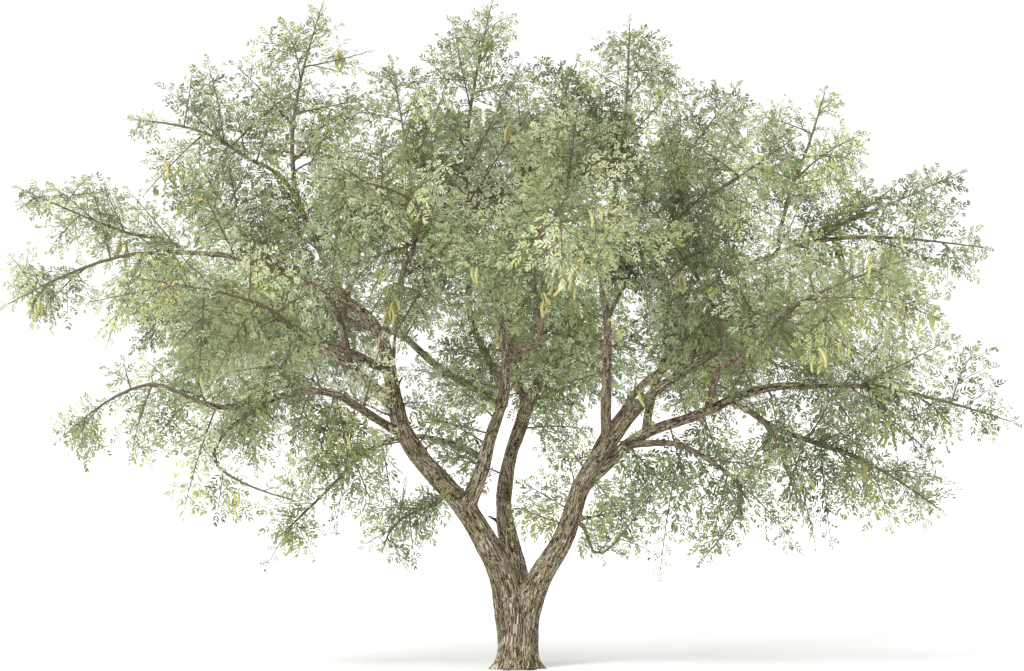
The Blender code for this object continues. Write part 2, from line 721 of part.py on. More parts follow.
def keep_largest_shell(mesh):
    """Drop loose scraps, and fill hollows that the union sealed."""
    shape = bmesh.new()
    shape.from_mesh(mesh)
    waiting = set(shape.faces)
    shells = []
    while waiting:
        front = [waiting.pop()]
        shell = list(front)
        while front:
            face = front.pop()
            near = {other for edge in face.edges for other in edge.link_faces} & waiting
            waiting -= near
            shell.extend(near)
            front.extend(near)
        shells.append(shell)
    shells.sort(key=len)
    scraps = [face for shell in shells[:-1] for face in shell]
    bmesh.ops.delete(shape, geom=scraps, context="FACES")
    shape.to_mesh(mesh)
    shape.free()


def build_masses(paths):
    limbs = Limbs(paths)
    for mass in MASSES:
        thing = MassBuilder(mass, paths[mass.limb], limbs).grow()
        thing.data.materials.clear()
        thing.data.materials.append(material(mass.name + "_green", LEAF_GREEN, LEAF_ROUGHNESS))


def main():
    clear_scene()
    paths = {"trunk": Path([Vector((0, 0, 0)), Vector((TRUNK_LEAN, 0, FORK_HEIGHT))],
                           [NECK_RADIUS, HEAD_RADIUS])}
    for limb in LIMBS:
        paths[limb.name] = limb_path(limb, paths)
    trunk = trunk_solid("trunk")
    smooth(trunk.data)
    trunk.data.materials.append(material("trunk_bark", TRUNK_BARK, BARK_ROUGHNESS))
    build_limbs(paths)
    build_masses(paths)
    solids = list(bpy.data.objects)
    tree = add_object("tree", None)
    for solid in solids:
        solid.parent = tree


if __name__ == "__main__":
    main()
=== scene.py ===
import json
import math
import random
from collections import namedtuple

import bpy
import numpy as np
from mathutils import Matrix, Vector, noise

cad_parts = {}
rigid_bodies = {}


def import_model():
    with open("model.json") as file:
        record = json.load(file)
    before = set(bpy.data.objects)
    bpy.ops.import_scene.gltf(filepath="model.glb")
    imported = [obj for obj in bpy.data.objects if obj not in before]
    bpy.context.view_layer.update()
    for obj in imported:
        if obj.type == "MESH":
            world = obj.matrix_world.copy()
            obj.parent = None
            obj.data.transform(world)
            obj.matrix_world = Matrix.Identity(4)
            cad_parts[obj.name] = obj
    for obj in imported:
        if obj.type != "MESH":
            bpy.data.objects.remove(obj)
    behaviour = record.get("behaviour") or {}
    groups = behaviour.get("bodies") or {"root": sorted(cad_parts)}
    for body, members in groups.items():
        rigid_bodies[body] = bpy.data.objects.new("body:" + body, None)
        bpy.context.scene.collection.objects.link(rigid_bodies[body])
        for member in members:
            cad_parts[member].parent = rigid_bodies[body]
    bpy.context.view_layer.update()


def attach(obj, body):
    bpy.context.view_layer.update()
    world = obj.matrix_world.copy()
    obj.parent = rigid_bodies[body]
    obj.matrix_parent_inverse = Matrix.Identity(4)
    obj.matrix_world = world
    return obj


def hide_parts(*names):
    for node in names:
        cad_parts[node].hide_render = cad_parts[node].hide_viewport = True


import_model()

# A ghaf tree: furrowed bark on the trunk and limbs, then boughs, twigs, feathery sprays of leaflets,
# hanging pods and creamy blossom spikes grown on from the tips of the limbs.
# West is -X, east is +X, south is -Y, the side that the tree is seen from, and north is +Y.

# The trunk, in the sizes of the frame

FORK_HEIGHT = 0.81
FOOT_RADIUS = 0.265
NECK_RADIUS = 0.187
HEAD_RADIUS = 0.250
HEAD_FLATTENING = 0.78
TRUNK_LEAN = 0.030
FLARE_HEIGHT = 0.075
TOES = 7
TOE_RELIEF = 0.14
TOE_TURN = 0.6
TOE_FADE = 2.2
SPREAD_START = 0.45
SPREAD_POWER = 1.5
TRUNK_SIDES = 84
TRUNK_RINGS = 18
RING_CROWDING = 1.6
TRUNK_SINKS = (0.44, 0.76)
SUNK_RADIUS = -0.10
HEART_RADIUS = 0.10

# The limbs: each leaves its parent at a share of the parent's length and runs as one easy curve to
# its end place, between a leaving and an arriving pair of angles. The first of a pair is the course
# in the south elevation, 0 east, 90 up and 180 west. The second is the depth, with north positive.

SEED = 11
COLLAR = 0.16
COLLAR_LENGTH = 2
WIDEST_BASE = 0.9
HANDLE = 0.40
CROOK = 0.026
CROOK_LENGTH = 1.1
CURVE_STEPS = 60
FEWEST_RINGS = 4

Limb = namedtuple("Limb", "name parent share leave arrive end base tip")

LIMBS = (
    Limb("west_stem", "trunk", 0.86, (100, -5), (165, 5), (-1.95, 0.05, 3.70), 0.130, 0.045),
    Limb("east_stem", "trunk", 0.88, (64, 0), (30, -15), (1.80, -0.25, 3.00), 0.115, 0.034),
    Limb("middle_stem", "trunk", 0.86, (100, 20), (45, 15), (0.35, 0.65, 2.95), 0.108, 0.036),
    Limb("inner_stem", "west_stem", 0.26, (68, -15), (95, -5), (-0.15, -0.30, 3.35), 0.090, 0.032),
    Limb("east_bough", "east_stem", 0.39, (42, 0), (-5, 5), (3.35, 0.00, 2.75), 0.078, 0.026),
    Limb("west_bough", "west_stem", 0.59, (135, 15), (165, 20), (-2.35, 0.45, 3.25), 0.068, 0.036),
    Limb("high_west_limb", "west_stem", 0.92, (120, 5), (90, 0), (-2.20, 0.15, 5.00), 0.038, 0.022),
    Limb("top_west_limb", "high_west_limb", 0.72, (125, 15), (150, 10), (-2.90, 0.35, 5.15), 0.024, 0.018),
    Limb("far_west_limb", "west_bough", 0.42, (100, -50), (180, 5), (-3.50, -0.15, 4.05), 0.046, 0.022),
    Limb("arched_west_limb", "west_stem", 0.51, (150, -20), (150, -10), (-3.25, -0.70, 2.70), 0.046, 0.022),
    Limb("hanging_west_limb", "arched_west_limb", 0.62, (215, -25), (240, -20),
         (-2.85, -0.65, 2.25), 0.024, 0.018),
    Limb("low_west_limb", "inner_stem", 0.27, (130, 60), (230, -10), (-1.65, 0.35, 1.95), 0.036, 0.018),
    Limb("short_west_limb", "west_stem", 0.325, (215, -35), (200, -25), (-0.95, -0.25, 1.55), 0.030, 0.018),
    Limb("upper_south_limb", "west_stem", 0.77, (80, -30), (70, -40), (-0.95, -0.90, 4.20), 0.038, 0.022),
    Limb("south_west_limb", "west_stem", 0.69, (150, -45), (130, -65), (-2.20, -1.75, 3.40), 0.044, 0.024),
    Limb("north_west_limb", "inner_stem", 0.57, (140, 15), (145, 50), (-2.10, 1.75, 3.65), 0.042, 0.024),
    Limb("leading_limb", "inner_stem", 0.66, (120, 0), (90, 5), (-0.50, 0.05, 4.85), 0.038, 0.022),
    Limb("south_limb", "inner_stem", 0.80, (30, -45), (100, -60), (0.15, -2.00, 3.75), 0.038, 0.024),
    Limb("north_limb", "middle_stem", 0.60, (60, 45), (85, 60), (0.30, 2.40, 3.40), 0.050, 0.026),
    Limb("upper_north_limb", "middle_stem", 0.80, (110, 30), (95, 40), (-0.15, 1.85, 4.45), 0.038, 0.022),
    Limb("upright_limb", "east_stem", 0.56, (90, 10), (80, 5), (1.00, 0.25, 4.85), 0.066, 0.022),
    Limb("inner_east_limb", "upright_limb", 0.57, (40, -20), (30, -25), (1.85, -0.65, 4.60), 0.028, 0.020),
    Limb("high_east_limb", "east_bough", 0.28, (85, 25), (5, 10), (3.10, 0.75, 4.20), 0.044, 0.022),
    Limb("top_east_limb", "high_east_limb", 0.82, (85, -15), (65, -10), (2.75, 0.55, 4.80), 0.022, 0.018),
    Limb("low_east_limb", "east_bough", 0.58, (-35, -20), (-15, -20), (3.05, -0.45, 2.15), 0.036, 0.022),
    Limb("hanging_east_limb", "east_bough", 0.21, (5, -30), (-40, -20), (2.05, -0.50, 1.90), 0.036, 0.020),
    Limb("south_east_limb", "east_bough", 0.49, (80, -45), (55, -60), (2.45, -1.75, 3.40), 0.036, 0.024),
    Limb("north_east_limb", "east_stem", 0.48, (70, 60), (60, 55), (1.85, 2.10, 3.40), 0.046, 0.024),
    Limb("short_east_limb", "east_stem", 0.29, (-30, -25), (-75, -20), (0.70, -0.10, 1.25), 0.026, 0.016),
)

# Limbs that bend once on their way: the place of the bend and the two angles there

BENDS = {
    "west_stem": ((-0.95, 0.00, 2.15), (122, 0)),
    "far_west_limb": ((-2.10, -0.20, 3.75), (150, 0)),
    "arched_west_limb": ((-2.05, -0.40, 2.70), (190, -10)),
}

STEM_SEATS = {"west_stem": (-0.115, -0.01), "east_stem": (0.115, -0.01), "middle_stem": (0.01, 0.07)}
STEMS = ("west_stem", "east_stem", "middle_stem", "inner_stem", "east_bough", "west_bough")

# The masses of foliage: each grows on from a limb's tip and keeps to an egg-shaped space, given by
# its middle and its half sizes east, north and up

Mass = namedtuple("Mass", "name limb middle half")

MASSES = (
    Mass("far_west_foliage", "far_west_limb", (-4.08, -0.15, 3.95), (1.04, 1.15, 0.88)),
    Mass("arched_west_foliage", "arched_west_limb", (-3.55, -0.90, 2.45), (0.90, 0.95, 0.65)),
    Mass("hanging_west_foliage", "hanging_west_limb", (-2.65, -0.75, 2.10), (0.95, 0.90, 0.70)),
    Mass("west_foliage", "west_bough", (-2.85, 0.50, 3.30), (1.05, 1.00, 0.72)),
    Mass("upper_west_foliage", "west_stem", (-2.60, 0.30, 4.40), (1.05, 1.00, 0.85)),
    Mass("high_west_foliage", "high_west_limb", (-2.08, 0.10, 5.60), (0.80, 1.00, 0.92)),
    Mass("top_west_foliage", "top_west_limb", (-3.10, 0.35, 5.20), (0.75, 0.95, 0.78)),
    Mass("low_west_foliage", "low_west_limb", (-1.85, 0.15, 1.75), (0.95, 0.85, 0.75)),
    Mass("short_west_foliage", "short_west_limb", (-1.05, -0.45, 1.45), (0.55, 0.60, 0.55)),
    Mass("upper_south_foliage", "upper_south_limb", (-1.30, -1.45, 4.40), (1.05, 1.15, 0.95)),
    Mass("south_west_foliage", "south_west_limb", (-2.70, -2.40, 3.55), (1.25, 1.20, 0.80)),
    Mass("north_west_foliage", "north_west_limb", (-2.55, 2.30, 3.20), (1.40, 1.35, 1.25)),
    Mass("inner_foliage", "inner_stem", (-0.40, -0.50, 3.95), (0.95, 0.85, 0.75)),
    Mass("leading_foliage", "leading_limb", (-0.38, 0.00, 5.63), (0.85, 1.05, 0.90)),
    Mass("middle_foliage", "middle_stem", (0.40, 0.95, 3.15), (0.95, 0.90, 0.95)),
    Mass("south_foliage", "south_limb", (0.30, -2.70, 4.10), (1.30, 1.25, 0.85)),
    Mass("north_foliage", "north_limb", (0.15, 3.00, 3.25), (1.45, 1.10, 1.15)),
    Mass("upper_north_foliage", "upper_north_limb", (-0.35, 1.95, 4.85), (1.30, 1.10, 0.85)),
    Mass("east_foliage", "east_stem", (1.60, -0.45, 3.60), (0.95, 0.85, 0.75)),
    Mass("upright_foliage", "upright_limb", (1.05, 0.30, 5.52), (0.82, 1.05, 0.86)),
    Mass("inner_east_foliage", "inner_east_limb", (2.00, -0.80, 4.70), (1.00, 1.10, 0.95)),
    Mass("high_east_foliage", "high_east_limb", (3.75, 0.80, 4.20), (1.02, 1.20, 0.76)),
    Mass("top_east_foliage", "top_east_limb", (2.85, 0.60, 5.08), (0.72, 0.95, 0.66)),
    Mass("east_bough_foliage", "east_bough", (4.02, 0.00, 2.78), (0.92, 1.10, 0.76)),
    Mass("low_east_foliage", "low_east_limb", (3.40, -0.60, 1.95), (0.90, 0.90, 0.62)),
    Mass("hanging_east_foliage", "hanging_east_limb", (2.00, -0.55, 1.75), (1.00, 0.90, 0.72)),
    Mass("short_east_foliage", "short_east_limb", (0.95, -0.25, 1.45), (0.50, 0.55, 0.52)),
    Mass("south_east_foliage", "south_east_limb", (2.85, -2.25, 3.60), (1.25, 1.20, 0.80)),
    Mass("north_east_foliage", "north_east_limb", (2.55, 2.30, 3.15), (1.45, 1.30, 1.25)),
)

MASS_NODES = [mass.name for mass in MASSES]

# Where the stems stand lower down inside the trunk, as x and y from its axis, and how high that is

STEM_FEET = {"west_stem": (-0.070, -0.010), "east_stem": (0.045, -0.050), "middle_stem": (0.020, 0.050)}
STEM_FOOT = 0.30
STEM_FOOT_SIZE = 0.85
STEM_FOOT_RINGS = 6

# Snags: short dead stubs on the bare limbs, with their length and two radii

Snag = namedtuple("Snag", "parent share leave length base tip")

SNAGS = (
    Snag("east_stem", 0.285, (5, -20), 0.11, 0.032, 0.018),
    Snag("inner_stem", 0.30, (120, -25), 0.16, 0.020, 0.010),
    Snag("middle_stem", 0.30, (150, -20), 0.12, 0.022, 0.012),
    Snag("west_stem", 0.45, (45, -25), 0.12, 0.022, 0.011),
    Snag("east_bough", 0.45, (-60, -30), 0.12, 0.015, 0.009),
    Snag("west_stem", 0.63, (60, -30), 0.14, 0.017, 0.009),
)
SNAG_RINGS = 3

# Leafy shoots from the bare limbs and into the gaps between the masses. Each stands with the limb it leaves:
# at what share of the limb, at which two angles, and how long it is.

SHOOTS = (
    ("east_stem", (0.26, 160, -15, 0.45), (0.31, 150, 30, 0.55), (0.35, 97, -10, 0.62),
     (0.45, -50, -20, 0.55), (0.45, 125, -10, 0.55), (0.60, -40, -10, 0.50), (0.68, 80, -45, 0.70),
     (0.78, 60, -20, 0.75)),
    ("middle_stem", (0.50, 160, 20, 0.70), (0.70, 5, -35, 0.65)),
    ("inner_stem", (0.24, 150, -20, 0.50), (0.42, 165, -20, 0.60), (0.36, 150, 20, 0.60),
     (0.50, 140, 25, 0.70), (0.55, 120, -40, 0.60), (0.66, 165, -15, 0.75), (0.76, 150, -35, 0.75),
     (0.86, 175, -10, 0.75), (0.62, 50, -25, 0.55)),
    ("west_stem", (0.33, 215, 10, 0.48), (0.47, 55, 20, 0.50), (0.50, 190, -35, 0.60),
     (0.56, 155, -35, 0.70), (0.60, 5, -30, 0.50), (0.84, 60, -40, 0.80), (0.94, 45, -35, 0.80)),
    ("arched_west_limb", (0.22, 75, -20, 0.60), (0.26, 262, -20, 0.75), (0.36, 255, 15, 0.80),
     (0.36, 285, -25, 0.50), (0.42, 105, -25, 0.65), (0.46, 250, -20, 0.60), (0.72, 285, -20, 0.60),
     (0.84, 252, -25, 0.85), (0.88, 110, -20, 0.50)),
    ("far_west_limb", (0.55, 98, -30, 0.60), (0.70, 115, -15, 0.80), (0.86, 238, -15, 0.85),
     (0.93, 212, -20, 0.85)),
    ("high_west_limb", (0.20, 55, -30, 0.65), (0.35, 140, -25, 0.70), (0.55, 125, -20, 0.70),
     (0.62, 35, -35, 0.80), (0.90, 25, -20, 1.00), (0.96, 40, -15, 0.95)),
    ("top_west_limb", (0.60, 70, -25, 0.70), (0.85, 140, -20, 0.85), (0.90, 42, -25, 0.95),
     (0.98, 98, -10, 0.85)),
    ("north_west_limb", (0.45, 60, -30, 0.75)),
    ("upper_south_limb", (0.30, 20, -20, 0.70), (0.55, 35, -25, 0.75), (0.75, 95, -20, 0.85)),
    ("leading_limb", (0.50, 160, -20, 0.80), (0.75, 155, 15, 1.00), (0.90, 142, -10, 1.15),
     (0.98, 155, -20, 1.10), (0.80, 30, -15, 0.90), (0.90, 15, 10, 1.00), (0.99, 66, -20, 1.45),
     (0.85, 57, -15, 1.30)),
    ("upright_limb", (0.25, 150, -15, 0.45), (0.35, 30, -30, 0.65), (0.46, 150, -30, 0.70),
     (0.54, 60, -60, 0.70), (0.60, 150, 15, 0.75), (0.62, 15, 15, 0.80), (0.67, 20, -35, 0.80),
     (0.70, 140, -45, 0.80), (0.76, 70, -65, 0.75), (0.84, 20, -35, 0.90), (0.92, 140, 5, 1.10),
     (0.96, 12, -20, 0.95), (0.98, 32, -10, 1.00), (0.99, 112, -25, 1.10), (0.98, 98, -10, 1.15)),
    ("inner_east_limb", (0.60, 75, -20, 0.80), (0.95, 68, 10, 1.15)),
    ("top_east_limb", (0.90, 10, -25, 0.85), (0.95, 42, -20, 0.85)),
    ("high_east_limb", (0.32, 40, -55, 0.75), (0.45, 120, -30, 0.70), (0.62, 80, -20, 0.75),
     (0.80, 60, -30, 0.80), (0.95, 48, -20, 1.05)),
    ("east_bough", (0.22, -70, -20, 0.50), (0.36, -75, -20, 0.50), (0.47, -70, -30, 0.55),
     (0.55, 60, -40, 0.65), (0.65, 112, -45, 0.65), (0.70, -80, -25, 0.55), (0.78, 62, -45, 0.65),
     (0.99, -22, -15, 1.20), (0.98, 6, -20, 1.10), (0.42, 105, -30, 0.55)),
    ("hanging_east_limb", (0.60, -55, -30, 0.55), (0.95, -42, -20, 0.80)),
    ("east_bough", (0.88, -55, -20, 0.80), (0.96, -38, 10, 1.00)),
    ("low_east_limb", (0.75, 60, -20, 0.70), (0.55, -75, -20, 0.80), (0.95, 32, 0, 0.85)),
)
SHOOT_MIDDLE = 0.7
SHOOT_HALF = 0.75
SHOOT_SIZE = 0.8

# More boughs, which leave the limbs like limbs do and fill an egg-shaped space as the masses do

Bough = namedtuple("Bough", "name parent share leave end middle half")

BOUGHS = (
    Bough("west_gap_bough", "upper_south_limb", 0.92, (100, 15), (-1.05, -0.60, 4.95),
          (-1.12, -0.50, 5.35), (0.60, 0.80, 0.58)),
    Bough("east_gap_bough", "leading_limb", 0.80, (60, 10), (0.15, 0.10, 4.90),
          (0.33, 0.05, 5.32), (0.55, 0.85, 0.72)),
    Bough("high_gap_bough", "upright_limb", 0.86, (50, 0), (1.60, 0.15, 4.95),
          (1.85, 0.20, 5.28), (0.65, 0.80, 0.50)),
    Bough("far_west_bough", "far_west_limb", 0.90, (130, 10), (-3.90, -0.10, 4.28),
          (-4.30, -0.20, 4.45), (0.60, 0.80, 0.48)),
    Bough("far_east_bough", "high_east_limb", 0.90, (50, -5), (3.40, 0.60, 4.42),
          (3.85, 0.55, 4.62), (0.68, 0.80, 0.40)),
    Bough("arch_bough", "arched_west_limb", 0.50, (130, -15), (-2.45, -0.50, 2.90),
          (-2.55, -0.60, 2.62), (0.80, 0.75, 0.40)),
    Bough("low_bough", "low_east_limb", 0.30, (-50, -20), (2.50, -0.50, 2.20),
          (2.55, -0.65, 2.05), (0.50, 0.75, 0.58)),
    Bough("forward_bough", "upright_limb", 0.45, (75, -40), (1.10, -0.25, 3.90),
          (1.15, -0.50, 4.20), (0.60, 0.75, 0.70)),
    Bough("middle_bough", "west_stem", 0.70, (60, -35), (-1.15, -0.45, 3.30),
          (-1.02, -0.75, 3.50), (0.52, 0.70, 0.42)),
    Bough("south_gap_bough", "south_limb", 0.70, (80, -30), (0.45, -1.45, 4.50),
          (0.50, -1.65, 4.90), (0.75, 0.65, 0.55)),
    Bough("north_gap_bough", "upper_north_limb", 0.70, (50, 20), (0.50, 1.35, 4.60),
          (0.70, 1.45, 4.95), (0.75, 0.75, 0.55)),
    Bough("north_west_gap_bough", "north_west_limb", 0.75, (100, 30), (-1.60, 1.45, 4.10),
          (-1.65, 1.60, 4.50), (0.70, 0.75, 0.55)),
    Bough("north_east_gap_bough", "north_east_limb", 0.80, (80, 40), (1.80, 1.55, 3.95),
          (1.90, 1.60, 4.35), (0.70, 0.75, 0.55)),
)
BOUGH_RADII = (0.024, 0.012)
BOUGH_POINTS = 14

# Bark: the fused skin, its kinks and its furrows

STEM_RING_STEP = 0.05
STEM_CURVE_SIDES = 8
STEM_VOXEL = 0.0105
LIMB_VOXEL = 0.012
STEM_SOFTNESS = 0.014
LIMB_SOFTNESS = 0.010
SMOOTHING = 3
SMOOTHING_FORCE = 0.5
FITTINGS = 3
LONGEST_FITTING = 0.05
NEARBY = 0.12
BOTTOM = 0.012
FACING_DOWN = -0.4
KINK = 0.013
KINK_LENGTH = 0.38
KINK_FADE = 6
UNEVEN = 0.10
UNEVEN_LENGTH = 0.30
FURROW_WIDTH = 0.034
FURROW_LENGTH = 0.22
FURROW_WANDER = 0.8
WANDER_WIDTH = 0.10
WANDER_LENGTH = 0.25
BROAD_SLOPE = 3.2
BROAD_SHARE = 0.65
FINE_SLOPE = 3.0
FINE_SHARE = 0.35
FINE_SCALE = 2.1
FINE_OFFSET = Vector((7, 3, 1))
FURROW_LEVEL = 0.7
FURROW_DEPTH = 0.075
DEEPEST_FURROW = 0.010
LUMP_SIZE = 0.22
LUMP_DEPTH = 0.05
VERTEX_BATCH = 20000

# The colours of the bark: in its cracks, partly painted shade, usual, on its ridges, partly painted
# highlight, and what green patches are dyed with

TRUNK_COLOURS = ((0.026, 0.017, 0.008), (0.262, 0.198, 0.120), (0.800, 0.700, 0.520), (0.60, 0.60, 0.40))
LIMB_COLOURS = ((0.045, 0.030, 0.016), (0.265, 0.206, 0.130), (0.700, 0.610, 0.450), (0.64, 0.63, 0.45))
LIMB_FINENESS = 1.5
BARK_STOPS = (0.0, 0.22, 0.50, 0.88, 1.0)
BARK_ROUGHNESS = 0.88
BUMP_STRENGTH = 0.9
BUMP_DEPTH = 0.008

# The noise of the bark: how fine it is across and along the grain, against the broad cracks, its detail and
# its distortion. A crack is the thin line where it crosses its middle.

CRACKS_ACROSS = 74
CRACKS_ALONG = 10.5
BROAD_NOISE = (1, 1, 3, 0.9)
FINER_NOISE = (2.3, 2.6, 2, 1.2)
STREAK_NOISE = (1.4, 0.8, 5, 0.4)
NOISE_ROUGHNESS = 0.6
BROAD_CRACK = 0.085
FINER_CRACK = 0.10
CRACK_SHARE = 0.45
PLATE_SHARE = 0.30
RIDGE_SHARE = 0.25
STREAK_SHARE = 0.9
TONES = (0.56, 1.36)
PATCHES = (0.46, 0.66)
PATCH_STRENGTH = 0.85
PATCH_SCALE = 4.0
PATCH_DETAIL = 4
SHINE = 0.25

# Boughs, twigs and sprays of a mass of the usual size. Angles are in degrees.

NEARLY_UP = Vector((0.02, 0.03, 1))
GOLDEN_TURN = 137.5
USUAL_HALF_SIZE = 0.85
SPACE_MARGIN = 0.02
WALL_OVERLAP = 0.18
LEADER_START = 0.08
LEADER_REACH = 0.94
LEADER_POINTS = 8
LEADER_END_RADIUS = 0.005
BEARING_RADIUS = 0.050
FIRST_SIDE = 0.04
SIDE_STEP = 0.080
SIDE_STEP_WANDER = (0.8, 1.2)
SIDE_SPREADS = (45, 72, 100)
SIDE_OPENING = 1.1
SIDE_CLOSING = 0.3
SIDE_WANDER = 18
SIDE_RADIUS = 0.010
SIDE_THICKNESS = 0.7
SIDE_END_RADIUS = 0.0035
LONGEST_SIDE = 1.30
SHORTEST_SIDE = 0.12
SIDE_SAG = 0.18
SIDE_SAG_WANDER = (0.3, 1.0)
SIDE_BEND = 0.08
SIDE_RINGS = 6
LONG_SIDE_SHARE = 0.45
LONG_SIDE = (0.93, 1.0)
SHORT_SIDE = (0.5, 0.85)
BARE_SIDE = 0.16
FIRST_TWIG = 0.08
TWIG_STEP = 0.12
TWIG_STEP_WANDER = (0.8, 1.25)
TWIG_SPREAD = 46
TWIG_SWING = 7
TWIG_TILT = 26
TWIG_LENGTH = 0.50
TWIG_LENGTH_WANDER = (0.6, 1.1)
TWIG_SHORTENING = 0.78
TWIG_ROOM = 0.86
TIP_TWIG = 0.1
TIP_TWIG_GROWTH = 0.75
TWIG_SAG = 0.22
SHORTEST_TWIG = 0.07
TWIG_RADIUS = 0.0040
TWIG_END_RADIUS = 0.0022
FIRST_SPRAY = 0.03
SPRAY_STEP = 0.062
SPRAY_STEP_WANDER = (0.88, 1.12)
SPRAY_SPREAD = 48
SPRAY_SWING = 5
SPRAY_TILT = 8
SPRAY_LENGTH = 0.158
SPRAY_LENGTH_WANDER = (0.9, 1.1)
FIRST_SPRAY_SIZE = 1.15
SPRAY_SHORTENING = 0.58
LAST_SPRAY_SIZE = 0.8
SHORTEST_SPRAY = 0.06
LEAST_ROOM = 0.09
SPRAY_ROOT_RADIUS = 0.0028
SPRAY_DROOP = 0.12
FACING_DEPTH = (0.5, 1.5)
FACING_WANDER = 0.42
LIKE_FACING_WANDER = 0.24
SECOND_FAN = 70
LIMB_CLEARANCE = 0.012
CLEARANCE_PLACES = (0.35, 0.7, 1.0)
CLEARANCE_STEP = 4
CLEARANCE_BATCH = 5000
TWIG_SIDES = 3
SIDE_SIDES = 4
LEADER_SIDES = 6
BOUGH_SIDES = 8

# How thickly side boughs stand in a mass, where it isn't 1

FULLNESS = {
    "hanging_west_foliage": 0.22, "low_west_foliage": 0.40, "arched_west_foliage": 0.44,
    "far_west_foliage": 0.50, "hanging_east_foliage": 0.29, "short_east_foliage": 0.26,
    "high_east_foliage": 0.55, "low_east_foliage": 0.70, "high_west_foliage": 0.62,
    "top_west_foliage": 0.54, "top_east_foliage": 0.42, "east_bough_foliage": 0.58, "leading_foliage": 0.80,
    "west_foliage": 0.60, "upright_foliage": 0.80, "inner_east_foliage": 0.85, "short_west_foliage": 0.42,
    "low_bough": 0.22, "arch_bough": 0.75, "far_west_bough": 0.48, "far_east_bough": 0.40,
    "west_gap_bough": 0.8, "high_gap_bough": 0.7, "middle_bough": 0.7,
}

# Where a mass's leader ends, where it isn't straight on past the mass's middle

LEADER_ENDS = {
    "far_west_foliage": (-4.95, -0.15, 3.55), "arched_west_foliage": (-4.33, -1.00, 2.28),
    "east_bough_foliage": (4.84, 0.05, 2.40), "high_east_foliage": (4.65, 0.85, 4.12),
}

# Leaflets on a spray, as shares of the spray's length

LEAFLET_PAIRS = 4
FIRST_LEAFLET = 0.16
LAST_LEAFLET = 0.86
END_LEAFLET = 0.92
END_LEAFLET_TURN = 0.1
END_LEAFLET_SIZE = 0.8
LEAFLET_LENGTH = 0.34
LEAFLET_LENGTH_WANDER = (0.85, 1.12)
LEAFLET_SHIFT = 0.012
LEAST_LEAFLET = 0.72
LEAFLET_SWELL = 0.40
SWELL_START = 0.15
SWELL_RUN = 0.75
LEAFLET_WIDTH = 0.124
LEAFLET_BELLY = 0.45
LEAFLET_TIP = 0.45
LEAFLET_SPREAD = 48
LEAFLET_SWING = 5
LEAFLET_CLOSING = 14
LEAFLET_LIFT = 0.14
LEAFLET_WAG = 0.07
LEAFLET_ROLL = 0.22
SECOND_SET = 4
LEAF_PIECE = 180000
SPRAY_KINDS = 8

# The tints of the leaflets, from deep to light, dealt out by side bough and spray. They are dealt lighter
# towards the west, the side the sun comes from, and a little lighter at the crown's outline: both painted
# light. Fresh side boughs take the yellower tints, most of all in the middle and east of the crown.

TINTS = {
    "deep": (0.070, 0.098, 0.045),
    "blue_deep": (0.128, 0.170, 0.094),
    "moss": (0.200, 0.240, 0.100),
    "sage": (0.265, 0.315, 0.160),
    "grey_sage": (0.340, 0.385, 0.222),
    "pale": (0.455, 0.490, 0.290),
    "silver": (0.560, 0.592, 0.380),
    "olive": (0.310, 0.325, 0.105),
    "fresh": (0.430, 0.462, 0.150),
}
USUAL_TINTS = ("deep", "blue_deep", "moss", "sage", "grey_sage", "pale", "silver")
FRESH_TINTS = ("moss", "olive", "olive", "sage", "fresh", "pale", "fresh")
MIDDLE_TINT = 3.1
PAINTED_LIGHT_AT_EDGE = 0.15
PAINTED_LIGHT_ON_WEST = 1.1
BOUGH_TINT_WANDER = 1.25
SPRAY_TINT_WANDER = 0.70
SECOND_TINT_STEPS = (-1.2, -1, 1)
EDGE_START = 0.5
EDGE_WIDTH = 0.4
EDGE_CALM = 0.6
SAME_TINTS_SHARE = 0.8
CROWN_MIDDLE = (-0.07, 3.40)
CROWN_HALF = (4.95, 3.10)
USUAL_FRESH_SHARE = 0.12
FRESH_SHARES = {
    "inner_foliage": 0.2, "south_foliage": 0.3, "inner_east_foliage": 0.3, "upright_foliage": 0.25,
    "south_east_foliage": 0.3, "leading_foliage": 0.2, "upper_south_foliage": 0.2,
    "south_west_foliage": 0.2,
}

# The other colours of the crown, and how rough its surfaces are

LEAF_ROUGHNESS = 0.62
TWIG_ROUGHNESS = 0.8
POD_ROUGHNESS = 0.5
TWIG_COLOUR = (0.150, 0.120, 0.075)
STALK_COLOUR = (0.130, 0.130, 0.065)
POD_COLOUR = (0.500, 0.480, 0.190)
BLOSSOM_COLOUR = (0.620, 0.520, 0.170)

# Pods and blossom: where clusters hang, as x and z in the south elevation, and how many more elsewhere

POD_PLACES = (
    (-3.3, 4.9), (-3.8, 4.2), (-2.2, 3.5), (-2.85, 3.0), (-1.8, 2.3), (-2.8, 1.95), (-2.4, 1.2),
    (-1.3, 3.9), (-0.4, 3.9), (0.3, 3.6), (1.6, 3.9), (2.75, 3.2), (2.85, 2.8), (3.35, 1.95),
    (3.7, 2.3), (3.9, 4.2), (3.15, 3.85), (3.5, 3.6), (3.75, 3.45), (0.8, 5.8), (-4.75, 3.6), (1.35, 2.7),
)
BLOSSOM_PLACES = ((-3.05, 4.5), (-2.35, 4.45), (-2.2, 4.7), (0.05, 3.5), (0.8, 4.55), (-3.1, 3.6))
NEAR_SIDE_PULL = 0.12
MORE_PODS = 34
MORE_BLOSSOM = 16
PODS_IN_CLUSTER = (2, 5)
POD_LENGTH = (0.13, 0.22)
POD_RADIUS = 0.0145
POD_RINGS = 9
POD_SIDES = 6
POD_BOW = 0.12
POD_SPREAD = 0.040
POD_RISE = -1
SPIKES_IN_CLUSTER = (14, 24)
SPIKE_LENGTH = (0.035, 0.065)
SPIKE_RADIUS = 0.008
SPIKE_RINGS = 5
SPIKE_SIDES = 4
SPIKE_BOW = 0.04
SPIKE_SPREAD = 0.060
